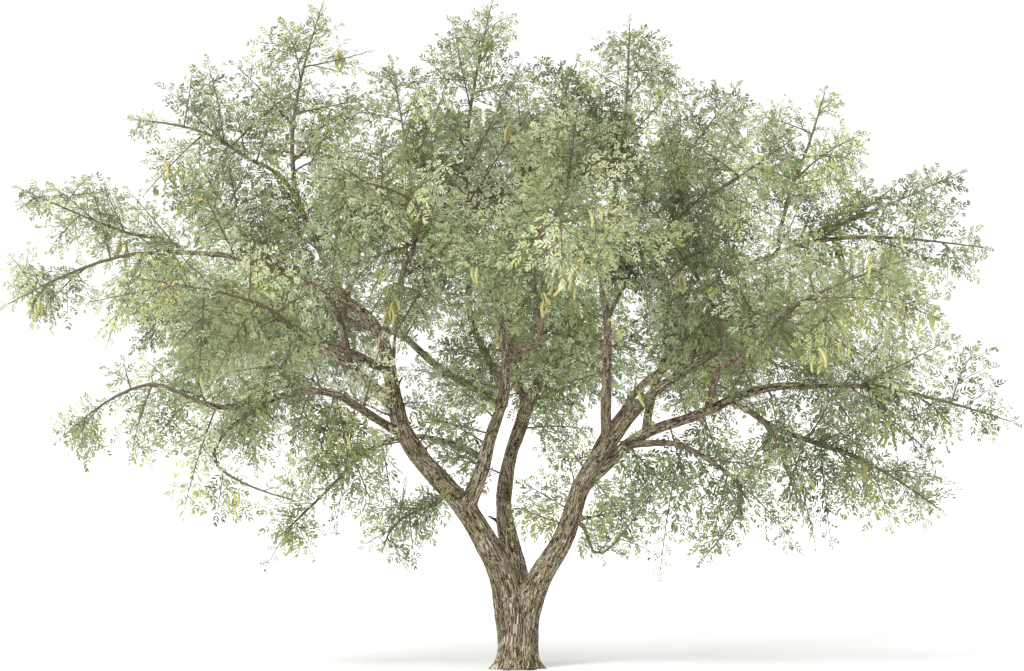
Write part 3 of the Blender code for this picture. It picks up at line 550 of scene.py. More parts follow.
SPIKE_RISE = 0.1
HANGING_WANDER = 0.28

# The outline of a pod and of a blossom spike: how soon each end is full, how thick it is at the very tip, and
# how deep and how many its pinches are

POD_OUTLINE = (0.12, 0.10, 0.06, 0.14, 6)
SPIKE_OUTLINE = (0.15, 0.35, 0.08, 0.18, 5)

# Light, floor and camera. The camera stands level, far off to the south, and the picture is so many metres
# wide at the trunk.

SKY_STRENGTH = 1.15
SUN_STRENGTH = 2.5
SUN_SOFTNESS = 28
SUN_WAY = (0.55, 0.75, -0.85)
FLOOR_COLOUR = (0.88, 0.88, 0.87)
FLOOR_ROUGHNESS = 0.9
FLOOR_RADIUS = 150
FLOOR_DROP = 0.002
CAMERA_DISTANCE = 40
PICTURE_WIDTH = 9.994
PICTURE_MIDDLE = (-0.049, 3.245)
SENSOR_WIDTH = 36
FARTHEST_SEEN = 1000


def between(values, share):
    """The value at a share of the way along an evenly spaced row of values."""
    place = share * (len(values) - 1)
    first = min(int(place), len(values) - 2)
    return values[first] + (values[first + 1] - values[first]) * (place - first)


def tapered(radii, count):
    """Radii at even steps between the given ones."""
    return [between(radii, i / count) for i in range(count + 1)]


def run_length(points):
    return sum((b - a).length for a, b in zip(points, points[1:]))


def heading(course, depth):
    """A unit direction from an angle in the south elevation and an angle out of it."""
    course, depth = math.radians(course), math.radians(depth)
    return Vector((math.cos(depth) * math.cos(course), math.sin(depth), math.cos(depth) * math.sin(course)))


def squared(vector, direction):
    """The unit direction square to another that lies nearest to a vector."""
    return (vector - direction * vector.dot(direction)).normalized()


class Path:
    """The axis of a limb or twig as even points, with a radius at each."""

    def __init__(self, points, radii):
        self.points = points
        self.radii = radii

    def at(self, share):
        return between(self.points, share)

    def radius_at(self, share):
        return between(self.radii, share)

    def direction(self, index):
        before = self.points[max(index - 1, 0)]
        after = self.points[min(index + 1, len(self.points) - 1)]
        return (after - before).normalized()

    def direction_at(self, share):
        stretch = 1 / (len(self.points) - 1)
        after = self.at(min(share + stretch / 2, 1))
        return (after - self.at(max(share - stretch / 2, 0))).normalized()

    def length(self):
        return run_length(self.points)


def evenly_spaced(curve, count):
    """Points at even steps along a finely drawn curve, both ends included."""
    lengths = [0.0]
    for start, end in zip(curve, curve[1:]):
        lengths.append(lengths[-1] + (end - start).length)
    points, index = [], 0
    for step in range(count + 1):
        wanted = lengths[-1] * step / count
        while index < len(curve) - 2 and lengths[index + 1] < wanted:
            index += 1
        stretch = lengths[index + 1] - lengths[index]
        points.append(curve[index].lerp(curve[index + 1], (wanted - lengths[index]) / stretch))
    return points


def crook(name, start, end):
    """A function for the slow seeded waver of a limb off its easy curve, none at either end."""
    chance = random.Random(f"{SEED} {name}")
    along = (end - start).normalized()
    side = along.orthogonal().normalized()
    side = Matrix.Rotation(chance.uniform(0, math.tau), 3, along) @ side
    distance = (end - start).length
    waves = max(1, round(distance / CROOK_LENGTH))

    def waver(share):
        swing = math.sin(math.tau * waves * share / 2) * math.sin(math.pi * share)
        turn = Matrix.Rotation(math.pi * share, 3, along)
        return turn @ side * swing * CROOK * distance

    return waver


def easy_curve(start, leaving, end, arriving):
    """Points after start, along a curve to end with the given directions at both."""
    handle = HANDLE * (end - start).length
    after_start, before_end = start + leaving * handle, end - arriving * handle
    points = []
    for step in range(1, CURVE_STEPS + 1):
        t = step / CURVE_STEPS
        first, last = start.lerp(after_start, t), before_end.lerp(end, t)
        middle = after_start.lerp(before_end, t)
        points.append(first.lerp(middle, t).lerp(middle.lerp(last, t), t))
    return points


def kinked(name, points, radii):
    """Small kinks and swellings along a limb, none at either end."""
    chance = random.Random(f"{SEED} {name} kinks")
    seat = Vector([chance.uniform(0, 90) for _ in range(3)])
    travelled, moved, sized = 0.0, [], []
    for i, (point, radius) in enumerate(zip(points, radii)):
        if i:
            travelled += (point - points[i - 1]).length
        fade = min(1, i / KINK_FADE, (len(points) - 1 - i) / KINK_FADE)
        sway = noise.noise_vector(seat + Vector((0, 0, travelled / KINK_LENGTH)))
        swelling = noise.noise(seat + Vector((5, 0, travelled / UNEVEN_LENGTH)))
        moved.append(point + sway * KINK * fade)
        sized.append(radius * (1 + UNEVEN * swelling * fade))
    return moved, sized


def limb_path(limb, paths):
    """A curve from a limb's seat on its parent to its end place, thinning as it goes."""
    parent = paths[limb.parent]
    start = parent.at(limb.share)
    if limb.name in STEM_SEATS:
        start = start + Vector((*STEM_SEATS[limb.name], 0))
        base = limb.base
    else:
        base = min(limb.base, WIDEST_BASE * parent.radius_at(limb.share) / (1 + COLLAR))
    end = Vector(limb.end)
    knots = [(start, heading(*limb.leave)), (end, heading(*limb.arrive))]
    if limb.name in BENDS:
        place, angles = BENDS[limb.name]
        knots.insert(1, (Vector(place), heading(*angles)))
    curve = [start]
    for knot, after in zip(knots, knots[1:]):
        curve += easy_curve(*knot, *after)
    waver = crook(limb.name, start, end)
    curve = [point + waver(i / (len(curve) - 1)) for i, point in enumerate(curve)]
    length = run_length(curve)
    rings = max(FEWEST_RINGS, round(length / STEM_RING_STEP))
    points = evenly_spaced(curve, rings)
    radii = []
    for index in range(rings + 1):
        share = index / rings
        collar = 1 + COLLAR * math.exp(-share * length / (COLLAR_LENGTH * base))
        radii.append((base + (limb.tip - base) * share) * collar)
    return Path(*kinked(limb.name, points, radii))


def snag_path(snag, paths):
    """A short straight stub from the middle of its parent."""
    parent = paths[snag.parent]
    start = parent.at(snag.share)
    reach = snag.length + parent.radius_at(snag.share)
    points = [start + heading(*snag.leave) * reach * i / SNAG_RINGS for i in range(SNAG_RINGS + 1)]
    return Path(points, tapered((snag.base, snag.tip), SNAG_RINGS))


def rooted(name, path):
    """A stem's path run on down inside the trunk, so that it flows out of it."""
    x, y = STEM_FEET[name]
    foot = Vector((x + TRUNK_LEAN * STEM_FOOT / FORK_HEIGHT, y, STEM_FOOT))
    points, radii = [], []
    for i in range(STEM_FOOT_RINGS):
        points.append(foot.lerp(path.points[0], i / STEM_FOOT_RINGS))
        radii.append(path.radii[0] * (STEM_FOOT_SIZE + (1 - STEM_FOOT_SIZE) * i / STEM_FOOT_RINGS))
    return Path(points + path.points, radii + path.radii)


def deselect_all():
    bpy.ops.object.select_all(action="DESELECT")


def make_active(thing):
    deselect_all()
    thing.select_set(True)
    bpy.context.view_layer.objects.active = thing


def apply_modifier(thing, modifier):
    make_active(thing)
    bpy.ops.object.modifier_apply(modifier=modifier.name)


def trunk_radius(height):
    """Wide at the foot, narrowest at the neck, wide again where it forks."""
    flare = (FOOT_RADIUS - NECK_RADIUS) * np.exp(-height / FLARE_HEIGHT)
    spread = np.maximum((height / FORK_HEIGHT - SPREAD_START) / (1 - SPREAD_START), 0.0)
    return NECK_RADIUS + flare + (HEAD_RADIUS - NECK_RADIUS) * spread ** SPREAD_POWER


def trunk_reach(height):
    """The trunk's radius, which closes over in a dome between the stems."""
    low, high = TRUNK_SINKS
    sink = np.clip((height - low) / (high - low), 0, 1)
    sink = sink * sink * (3 - 2 * sink)
    return trunk_radius(height) * (1 - sink) + SUNK_RADIUS * sink


def trunk_flatness(height):
    return 1 - (1 - HEAD_FLATTENING) * np.minimum(height / FORK_HEIGHT, 1) ** 2


def trunk_relief(height, turn):
    """The toes where the roots start."""
    return 1 + TOE_RELIEF * np.exp(-height / (TOE_FADE * FLARE_HEIGHT)) * np.cos(TOES * turn + TOE_TURN)


def make_trunk():
    """A disc at ground level drawn up ring by ring to the fork, with toes where the roots start."""
    deselect_all()
    bpy.ops.mesh.primitive_circle_add(vertices=TRUNK_SIDES, radius=float(trunk_radius(0)), fill_type="NGON")
    trunk = bpy.context.object
    bpy.ops.object.mode_set(mode="EDIT")
    bpy.ops.mesh.select_all(action="SELECT")
    top = (TRUNK_SINKS[0] + TRUNK_SINKS[1]) / 2
    for step in range(TRUNK_RINGS):
        low, high = (top * (i / TRUNK_RINGS) ** RING_CROWDING for i in (step, step + 1))
        rise = (TRUNK_LEAN * (high - low) / FORK_HEIGHT, 0, high - low)
        bpy.ops.mesh.extrude_region_move(TRANSFORM_OT_translate={"value": rise})
        grow = float(trunk_reach(high) / trunk_reach(low))
        flat = float(trunk_flatness(high) / trunk_flatness(low))
        middle = (TRUNK_LEAN * high / FORK_HEIGHT, 0, high)
        bpy.ops.transform.resize(value=(grow, grow * flat, 1), center_override=middle)
    bpy.ops.mesh.select_all(action="SELECT")
    bpy.ops.mesh.normals_make_consistent(inside=False)
    bpy.ops.object.mode_set(mode="OBJECT")
    for vertex in trunk.data.vertices:
        place = vertex.co
        relief = float(trunk_relief(place.z, math.atan2(place.y, place.x)))
        place.x *= relief
        place.y *= relief
    return trunk


def make_limb(name, path):
    """One tapering limb, drawn as a curve with a round bevel and made a mesh."""
    curve = bpy.data.curves.new(name, "CURVE")
    curve.dimensions = "3D"
    curve.bevel_depth = 1
    curve.bevel_resolution = STEM_CURVE_SIDES
    curve.use_fill_caps = True
    spline = curve.splines.new("POLY")
    spline.points.add(len(path.points) - 1)
    for knot, point, radius in zip(spline.points, path.points, path.radii):
        knot.co = (*point, 1)
        knot.radius = radius
    limb = bpy.data.objects.new(name, curve)
    bpy.context.collection.objects.link(limb)
    make_active(limb)
    bpy.ops.object.convert(target="MESH")
    return bpy.context.object


def join(things, name):
    deselect_all()
    for thing in things:
        thing.select_set(True)
    bpy.context.view_layer.objects.active = things[0]
    bpy.ops.object.join()
    whole = bpy.context.object
    whole.name = name
    whole.data.name = name
    return whole


def off_stretches(points, start, along, square):
    """How far along each straight stretch points lie, as a share, and how they lie off it there."""
    offset = points[:, None, :] - start
    share = np.clip((offset * along).sum(axis=2) / square, 0, 1)
    return share, offset - along * share[:, :, None]


class Skin:
    """The surface of limbs that run smoothly into each other, and of the trunk where it is one."""

    def __init__(self, paths, softness, with_trunk):
        self.softness = softness
        self.with_trunk = with_trunk
        self.limbs = []
        for path in paths:
            points = np.array([tuple(point) for point in path.points])
            radii = np.array(path.radii)
            along = np.diff(points, axis=0)
            reach = radii.max() + NEARBY
            self.limbs.append((points[:-1], along, (along ** 2).sum(axis=1), radii[:-1], np.diff(radii),
                               points.min(axis=0) - reach, points.max(axis=0) + reach))

    def read(self, points):
        """How far points lie outside the surface, and the ways straight out of it."""
        total, pull = np.full(len(points), 1e-12), np.zeros((len(points), 3))
        for start, along, square, radius, change, low, high in self.limbs:
            near = np.flatnonzero(((points > low) & (points < high)).all(axis=1))
            share, away = off_stretches(points[near], start, along, square)
            apart = np.maximum(np.linalg.norm(away, axis=2), 1e-6)
            height = apart - radius - change * share
            row, best = np.arange(len(near)), height.argmin(axis=1)
            weight = np.exp(-height[row, best] / self.softness)
            total[near] += weight
            pull[near] += away[row, best] * (weight / apart[row, best])[:, None]
        if self.with_trunk:
            height, out = trunk_surface(points)
            weight = np.exp(-height / self.softness)
            total += weight
            pull += out * weight[:, None]
        size = np.maximum(np.linalg.norm(pull, axis=1), 1e-12)
        return -self.softness * np.log(total), pull / size[:, None]

    def fit(self, points, held):
        """Points drawn onto the surface, but for the held ones."""
        points = points.copy()
        for _ in range(FITTINGS):
            for first in range(0, len(points), VERTEX_BATCH):
                batch = points[first:first + VERTEX_BATCH]
                height, out = self.read(batch)
                step = out * np.clip(height, -LONGEST_FITTING, LONGEST_FITTING)[:, None]
                step[held[first:first + VERTEX_BATCH]] = 0
                points[first:first + VERTEX_BATCH] = batch - step
        return points


def trunk_surface(points):
    """How far points lie outside the trunk, and the ways straight out of it."""
    height = np.clip(points[:, 2], 0, TRUNK_SINKS[1])
    x = points[:, 0] - TRUNK_LEAN * height / FORK_HEIGHT
    flat = trunk_flatness(height)
    y = points[:, 1] / flat
    reach = np.maximum(np.hypot(x, y), 1e-6)
    relief = trunk_relief(height, np.arctan2(y, x))
    step = 0.01
    slope = (trunk_reach(height + step) - trunk_reach(height)) / step
    out = np.stack([x / reach, y / reach / flat, -slope], axis=1)
    size = np.linalg.norm(out, axis=1)
    above = np.maximum(points[:, 2] - TRUNK_SINKS[1], 0)
    return (reach - trunk_reach(height) * relief) / size + above, out / size[:, None]


def fuse_skin(thing, skin, voxel):
    """One even skin over overlapping limbs, drawn onto the surface where they run together."""
    remesh = thing.modifiers.new("fuse", "REMESH")
    remesh.mode = "VOXEL"
    remesh.voxel_size = voxel
    apply_modifier(thing, remesh)
    soften = thing.modifiers.new("soften", "SMOOTH")
    soften.factor = SMOOTHING_FORCE
    soften.iterations = SMOOTHING
    apply_modifier(thing, soften)
    points, normals = surface_arrays(thing.data)
    held = (points[:, 2] < BOTTOM) & (normals[:, 2] < FACING_DOWN)
    points = skin.fit(points, held)
    points[:, 2] = np.maximum(points[:, 2], 0)
    points[held, 2] = 0
    thing.data.vertices.foreach_set("co", points.ravel())
    thing.data.update()


def surface_arrays(mesh):
    """The places and normals of a mesh's vertices."""
    points, normals = np.empty(len(mesh.vertices) * 3), np.empty(len(mesh.vertices) * 3)
    mesh.vertices.foreach_get("co", points)
    mesh.vertices.foreach_get("normal", normals)
    return points.reshape(-1, 3), normals.reshape(-1, 3)


class Grain:
    """Where places on the bark lie along and around the nearest limb."""

    def __init__(self, paths):
        starts, ends, radii, lengths, across = [], [], [], [], []
        for name, path in paths.items():
            travelled = random.Random(name).uniform(0, 50)
            along = (path.points[-1] - path.points[0]).normalized()
            side = along.orthogonal().normalized()
            for i in range(len(path.points) - 1):
                start, end = path.points[i], path.points[i + 1]
                direction = (end - start).normalized()
                side = squared(side, direction)
                starts.append(start)
                ends.append(end)
                radii.append((path.radii[i] + path.radii[i + 1]) / 2)
                lengths.append(travelled)
                across.append(side.copy())
                travelled += (end - start).length
        self.start = np.array(starts)
        self.along = np.array(ends) - self.start
        self.square = (self.along ** 2).sum(axis=1)
        self.radius = np.array(radii)
        self.travelled = np.array(lengths)
        self.across = np.array(across)

    def read(self, points):
        """Around and along coordinates, as a vector that runs on smoothly round the limb."""
        rows, sizes = [], []
        for first in range(0, len(points), VERTEX_BATCH):
            batch = points[first:first + VERTEX_BATCH]
            share, away = off_stretches(batch, self.start, self.along, self.square)
            nearest = (np.linalg.norm(away, axis=2) - self.radius).argmin(axis=1)
            row = np.arange(len(batch))
            share = share[row, nearest]
            along = self.along[nearest]
            length = np.sqrt(self.square[nearest])
            radial = batch - self.start[nearest] - along * share[:, None]
            side = self.across[nearest]
            other = np.cross(along / length[:, None], side)
            turn = np.arctan2((radial * other).sum(axis=1), (radial * side).sum(axis=1))
            size = self.radius[nearest]
            travelled = self.travelled[nearest] + share * length
            rows.append(np.stack([np.cos(turn) * size, np.sin(turn) * size, travelled], axis=1))
            sizes.append(size)
        return np.concatenate(rows), np.concatenate(sizes)


def furrow(place):
    """1 on the ridges of the bark and 0 in the bottoms of its furrows."""
    x, y, z = place
    wander = noise.noise(Vector((x / WANDER_WIDTH, y / WANDER_WIDTH, z / WANDER_LENGTH))) * FURROW_WANDER
    fine = Vector((x / FURROW_WIDTH + wander, y / FURROW_WIDTH - wander, z / FURROW_LENGTH))
    broad = min(abs(noise.noise(fine)) * BROAD_SLOPE, 1.0)
    finer = min(abs(noise.noise(fine * FINE_SCALE + FINE_OFFSET)) * FINE_SLOPE, 1.0)
    return BROAD_SHARE * broad + FINE_SHARE * finer


def carve_bark(thing, grain):
    """Furrows and lumps in the skin, and the grain and the furrows kept for its colours, which come out
    lighter on the ridges, partly as painted highlight.
    """
    mesh = thing.data
    points, normals = surface_arrays(mesh)
    rows, sizes = grain.read(points)
    height = np.array([furrow(row) for row in rows])
    lumps = np.array([noise.noise(Vector(point) / LUMP_SIZE) for point in points])
    depth = np.minimum(FURROW_DEPTH * sizes, DEEPEST_FURROW)
    push = depth * (height - FURROW_LEVEL) + LUMP_DEPTH * sizes * lumps
    flat = points[:, 2] < BOTTOM
    push[flat & (normals[:, 2] < FACING_DOWN)] = 0
    points = points + normals * push[:, None]
    points[:, 2] = np.where(flat, 0, points[:, 2])
    mesh.vertices.foreach_set("co", points.ravel())
    along = mesh.attributes.new("grain", "FLOAT_VECTOR", "POINT")
    along.data.foreach_set("vector", rows.ravel())
    ridge = mesh.attributes.new("ridge", "FLOAT", "POINT")
    ridge.data.foreach_set("value", height)
    mesh.shade_smooth()
    mesh.update()


def matt_material(name, roughness):
    """A new material and its shader, with no colour yet."""
    made = bpy.data.materials.new(name)
    made.use_nodes = True
    shader = made.node_tree.nodes["Principled BSDF"]
    shader.inputs["Roughness"].default_value = roughness
    shader.inputs["Specular IOR Level"].default_value = SHINE
    return made, shader


def plain_material(name, colour, roughness):
    made, shader = matt_material(name, roughness)
    shader.inputs["Base Color"].default_value = (*colour, 1)
    return made


class BarkNodes:
    """The nodes of one bark material. Each method adds a node and gives back its output."""

    def __init__(self, material):
        self.nodes = material.node_tree.nodes
        self.links = material.node_tree.links
        self.grain = self.attribute("grain", "Vector")

    def add(self, kind, inputs, output, **settings):
        """A node of a kind. An input is either a value or another node's output."""
        made = self.nodes.new(kind)
        for name, value in settings.items():
            setattr(made, name, value)
        for name, value in inputs.items():
            if isinstance(value, bpy.types.NodeSocket):
                self.links.new(value, made.inputs[name])
            else:
                made.inputs[name].default_value = value
        return made.outputs[output]

    def attribute(self, name, output):
        return self.add("ShaderNodeAttribute", {}, output, attribute_name=name)

    def work(self, operation, first, second):
        """A sum worked out from an output and a number, or from two outputs."""
        return self.add("ShaderNodeMath", {0: first, 1: second}, "Value", operation=operation)

    def noise(self, vector, **inputs):
        inputs = {name.capitalize(): value for name, value in inputs.items()}
        return self.add("ShaderNodeTexNoise", {"Vector": vector, **inputs}, "Fac")

    def grain_noise(self, fineness, across, along, detail, distortion):
        """Noise drawn out along the grain of the bark."""
        across, along = CRACKS_ACROSS * fineness * across, CRACKS_ALONG * fineness * along
        inputs = {"Vector": self.grain, "Scale": (across, across, along)}
        stretched = self.add("ShaderNodeMapping", inputs, "Vector")
        return self.noise(stretched, scale=1, detail=detail, roughness=NOISE_ROUGHNESS, distortion=distortion)

    def spread(self, source, low, high, top=1, shape="LINEAR"):
        """A source's stretch from low to high spread over 0 to top."""
        inputs = {"Value": source, "From Min": low, "From Max": high, "To Max": top}
        return self.add("ShaderNodeMapRange", inputs, "Result", interpolation_type=shape)

    def cracks(self, source, width):
        """0 along the thin lines where noise crosses its middle, 1 away from them."""
        apart = self.work("ABSOLUTE", self.work("SUBTRACT", source, 0.5), 0)
        return self.spread(apart, 0, width, shape="SMOOTHSTEP")

    def ramp(self, source, stops):
        """Colours for the values of a source."""
        colour = self.add("ShaderNodeValToRGB", {"Fac": source}, "Color")
        elements = colour.node.color_ramp.elements
        while len(elements) < len(stops):
            elements.new(0.5)
        for element, (place, tint) in zip(elements, stops):
            element.position = place
            element.color = (*tint, 1)
        return colour


def bark_material(name, colours, fineness):
    """Grey-brown bark: dark cracks along the grain, cream on its ridges, faintly green in patches. The dark
    in the cracks is partly the bark's own and partly painted shade, and the cream on the ridges is partly its
    own and partly painted highlight.
    """
    made, shader = matt_material(name, BARK_ROUGHNESS)
    bark = BarkNodes(made)
    dark, middle, light, moss = colours
    broad = bark.cracks(bark.grain_noise(fineness, *BROAD_NOISE), BROAD_CRACK)
    finer = bark.cracks(bark.grain_noise(fineness, *FINER_NOISE), FINER_CRACK)
    streaks = bark.grain_noise(fineness, *STREAK_NOISE)

    # Cracks come out dark and ridges light: partly the bark's own colour, partly painted shade in the cracks
    # and painted highlight on the ridges.
    both = bark.work("MULTIPLY", broad, bark.work("MULTIPLY", finer, CRACK_SHARE))
    height = bark.work("ADD", both, bark.work("MULTIPLY", broad, PLATE_SHARE))
    raised = bark.work("MULTIPLY", bark.attribute("ridge", "Fac"), RIDGE_SHARE)
    height = bark.work("ADD", height, raised)
    tone = bark.work("ADD", bark.work("MULTIPLY", streaks, STREAK_SHARE), height)
    stops = list(zip(BARK_STOPS, (dark, dark, middle, light, light)))
    usual = bark.ramp(bark.spread(tone, *TONES), stops)

    place = bark.add("ShaderNodeTexCoord", {}, "Object")
    patches = bark.noise(place, scale=PATCH_SCALE, detail=PATCH_DETAIL)
    where = bark.spread(patches, *PATCHES, top=PATCH_STRENGTH)
    dyed = bark.add("ShaderNodeMix", {0: where}, 2, data_type="RGBA", blend_type="MULTIPLY")
    bark.links.new(usual, dyed.node.inputs[6])
    dyed.node.inputs[7].default_value = (*moss, 1)
    inputs = {"Strength": BUMP_STRENGTH, "Distance": BUMP_DEPTH, "Height": tone}
    bump = bark.add("ShaderNodeBump", inputs, "Normal")
    bark.links.new(dyed, shader.inputs["Base Color"])
    bark.links.new(bump, shader.inputs["Normal"])
    return made


def egg_reach(half, direction):
    return 1 / math.sqrt(((direction / half) ** 2).sum())


def mass_space(mass):
    """The room of one mass: an egg, cut flat where a neighbour's egg meets it."""
    middle, half, walls = np.array(mass.middle), np.array(mass.half), []
    for other in MASSES:
        if other.name != mass.name:
            apart = np.array(other.middle) - middle
            distance = np.linalg.norm(apart)
            out = apart / distance
            mine, theirs = egg_reach(half, out), egg_reach(np.array(other.half), out)
            walls.append((*out, middle @ out + distance * mine / (mine + theirs)))
    return Space(middle, half, walls)


def crown_depth(point):
    """0 in the heart of the crown and 1 at its outline, in the south elevation."""
    out, up = point.x - CROWN_MIDDLE[0], point.z - CROWN_MIDDLE[1]
    return math.hypot(out / CROWN_HALF[0], up / CROWN_HALF[1])


class Space:
    """An egg-shaped room with flat walls."""

    def __init__(self, middle, half, walls):
        self.middle = middle
        self.half = half
        self.walls = np.array(walls).reshape(-1, 4)

    def holds(self, point):
        """Whether a point lies inside the egg and its walls."""
        point = np.array(point)
        from_middle = (point - self.middle) / (self.half - SPACE_MARGIN)
        return bool(from_middle @ from_middle < 1 and (self.walls[:, :3] @ point < self.walls[:, 3]).all())

    def room(self, start, direction, size=1):
        """How far a straight line runs from start before it leaves the space, or a smaller egg in it."""
        start, direction = np.array(start), np.array(direction)
        scale = self.half * size - SPACE_MARGIN
        a, b = direction / scale, (start - self.middle) / scale
        inner = (a @ b) ** 2 - (a @ a) * (b @ b - 1)
        if inner <= 0:
            return 0.0
        reach = (math.sqrt(inner) - a @ b) / (a @ a)
        speed = self.walls[:, :3] @ direction
        left = self.walls[:, 3] + WALL_OVERLAP - self.walls[:, :3] @ start
        ahead = speed > 0
        return max(0.0, min(reach, (left[ahead] / speed[ahead]).min(initial=reach)))


def turned(direction, side, spread, turn):
    """A direction leaned away from another by spread, towards side turned about it, in degrees."""
    side = Matrix.Rotation(math.radians(turn), 3, direction) @ squared(side, direction)
    spread = math.radians(spread)
    return (direction * math.cos(spread) + side * math.sin(spread)).normalized()


def swung(direction, normal, angle):
    """A direction swung in the plane across normal, in degrees."""
    return Matrix.Rotation(math.radians(angle), 3, normal) @ direction


def facing(chance, direction):
    """A seeded normal for a flat fan of twigs or leaflets."""
    depth = chance.choice((1, -1)) * chance.uniform(*FACING_DEPTH)
    normal = Vector((chance.gauss(0, FACING_WANDER), depth, chance.gauss(0, FACING_WANDER)))
    return squared(normal, direction)


def bent(start, direction, length, bend, count):
    """Points of a gently bent stretch."""
    points = []
    for i in range(count):
        share = i / (count - 1)
        points.append(start + direction * length * share + bend * length * share ** 2)
    return points


Spray = namedtuple("Spray", "root direction normal length tint second_tint")


class Grower:
    """Grows one mass: a leader on from its limb, side boughs round both, twigs, and sprays on them."""

    def __init__(self, name, space, size):
        self.name = name
        self.space = space
        self.size = size
        self.chance = random.Random(f"{SEED} {name}")
        self.tone = 0.0
        self.wood = []
        self.sprays = []
        self.tips = []

    def leader(self, limb):
        direction = limb.direction(len(limb.points) - 1)
        start = limb.points[-1]
        lower = start + direction * LEADER_START
        middle = Vector(self.space.middle)
        towards = (middle - start).normalized()
        far = middle + towards * egg_reach(self.space.half, np.array(towards)) * LEADER_REACH
        far = Vector(LEADER_ENDS.get(self.name, far))
        bend = lower + direction * (far - lower).length / 3
        curve = [start]
        for i in range(LEADER_POINTS):
            share = i / (LEADER_POINTS - 1)
            curve.append(lower.lerp(bend, share).lerp(bend.lerp(far, share), share))
        points = evenly_spaced(curve, LEADER_POINTS)
        return Path(points, tapered((limb.radii[-1], LEADER_END_RADIUS), LEADER_POINTS))

    def bearing(self, limb, leader):
        """What bears side boughs: the slender outer stretch of the limb in the space, and the leader."""
        first = len(limb.points) - 1
        while first > 0:
            if limb.radii[first - 1] >= BEARING_RADIUS or not self.space.holds(limb.points[first - 1]):
                break
            first -= 1
        return Path(limb.points[first:] + leader.points[1:], limb.radii[first:] + leader.radii[1:])

    def add_spray(self, root, direction, normal, size, fresh):
        length = SPRAY_LENGTH * size * self.chance.uniform(*SPRAY_LENGTH_WANDER)
        length = min(length, max(self.space.room(root, direction), LEAST_ROOM))
        if length > SHORTEST_SPRAY:
            tints = deal_tints(crown_depth(root), self.tone, fresh, self.chance)
            self.sprays.append(Spray(root, direction, normal, length, *tints))

    def dress(self, path, normal, first, fresh):
        """Sprays left and right along a twig from a distance on, shorter towards its tip, and one there."""
        length = path.length()
        place, hand = first, self.chance.choice((1, -1))
        while place < length:
            share = place / length
            direction = path.direction_at(share)
            swing = hand * (SPRAY_SPREAD + self.chance.gauss(0, SPRAY_SWING))
            tilt = abs(self.chance.gauss(0, SPRAY_TILT))
            tilted = turned(normal, direction, tilt, self.chance.uniform(0, 360))
            size = FIRST_SPRAY_SIZE - SPRAY_SHORTENING * share
            self.add_spray(path.at(share), swung(direction, tilted, swing), tilted, size, fresh)
            hand = -hand
            place += SPRAY_STEP * self.chance.uniform(*SPRAY_STEP_WANDER)
        onward = path.direction(len(path.points) - 1)
        self.add_spray(path.points[-1], onward, normal, LAST_SPRAY_SIZE, fresh)

    def grow_twigs(self, side, normal, fresh):
        """Twigs left and right along a side bough, shorter towards its tip, like the barbs of a plume."""
        length = side.length()
        place, hand = FIRST_TWIG, 1
        while place < length - SHORTEST_TWIG:
            share = place / length
            along = side.direction_at(share)
            swing = hand * (TWIG_SPREAD + self.chance.gauss(0, TWIG_SWING))
            tilted = turned(normal, along, self.chance.uniform(0, TWIG_TILT), self.chance.choice((0, 180)))
            direction = swung(along, tilted, swing)
            start = side.at(share)
            room = self.space.room(start, direction, TWIG_ROOM) - SHORTEST_SPRAY
            wanted = TWIG_LENGTH * self.size * (1 - TWIG_SHORTENING * share)
            wanted *= self.chance.uniform(*TWIG_LENGTH_WANDER)
            reach = min(room, wanted, TIP_TWIG + TIP_TWIG_GROWTH * (length - place))
            if reach > SHORTEST_TWIG:
                bend = Vector((0, 0, -TWIG_SAG * reach)) * self.chance.random()
                points = bent(start, direction, reach, bend, 3)
                twig = Path(points, [TWIG_RADIUS, TWIG_RADIUS, TWIG_END_RADIUS])
                self.wood.append((twig, TWIG_SIDES))
                self.tips.append(points[1])
                own = fresh if self.chance.random() < SAME_TINTS_SHARE else not fresh
                self.dress(twig, facing_like(self.chance, normal, direction), FIRST_SPRAY, own)
            hand = -hand
            place += TWIG_STEP * self.chance.uniform(*TWIG_STEP_WANDER)

    def grow(self, limb):
        leader = self.leader(limb)
        self.wood.append((leader, LEADER_SIDES))
        bearing = self.bearing(limb, leader)
        length = bearing.length()
        place, k = FIRST_SIDE, 0
        while place < length:
            share = place / length
            along = bearing.direction_at(share)
            turn = k * GOLDEN_TURN + self.chance.uniform(-SIDE_WANDER, SIDE_WANDER)
            spread = SIDE_SPREADS[k % len(SIDE_SPREADS)] * (SIDE_OPENING - SIDE_CLOSING * share)
            direction = turned(along, NEARLY_UP, spread, turn)
            self.grow_side(bearing.at(share), direction, bearing.radius_at(share))
            step = SIDE_STEP * self.size / FULLNESS.get(self.name, 1)
            place += step * self.chance.uniform(*SIDE_STEP_WANDER)
            k += 1
        along = leader.direction(len(leader.points) - 1)
        normal = facing(self.chance, along)
        self.grow_twigs(Path(leader.points[-4:], leader.radii[-4:]), normal, False)
        for turn in (0, SECOND_FAN):
            self.dress(bearing, turned(normal, along, turn, 0), FIRST_SPRAY, False)

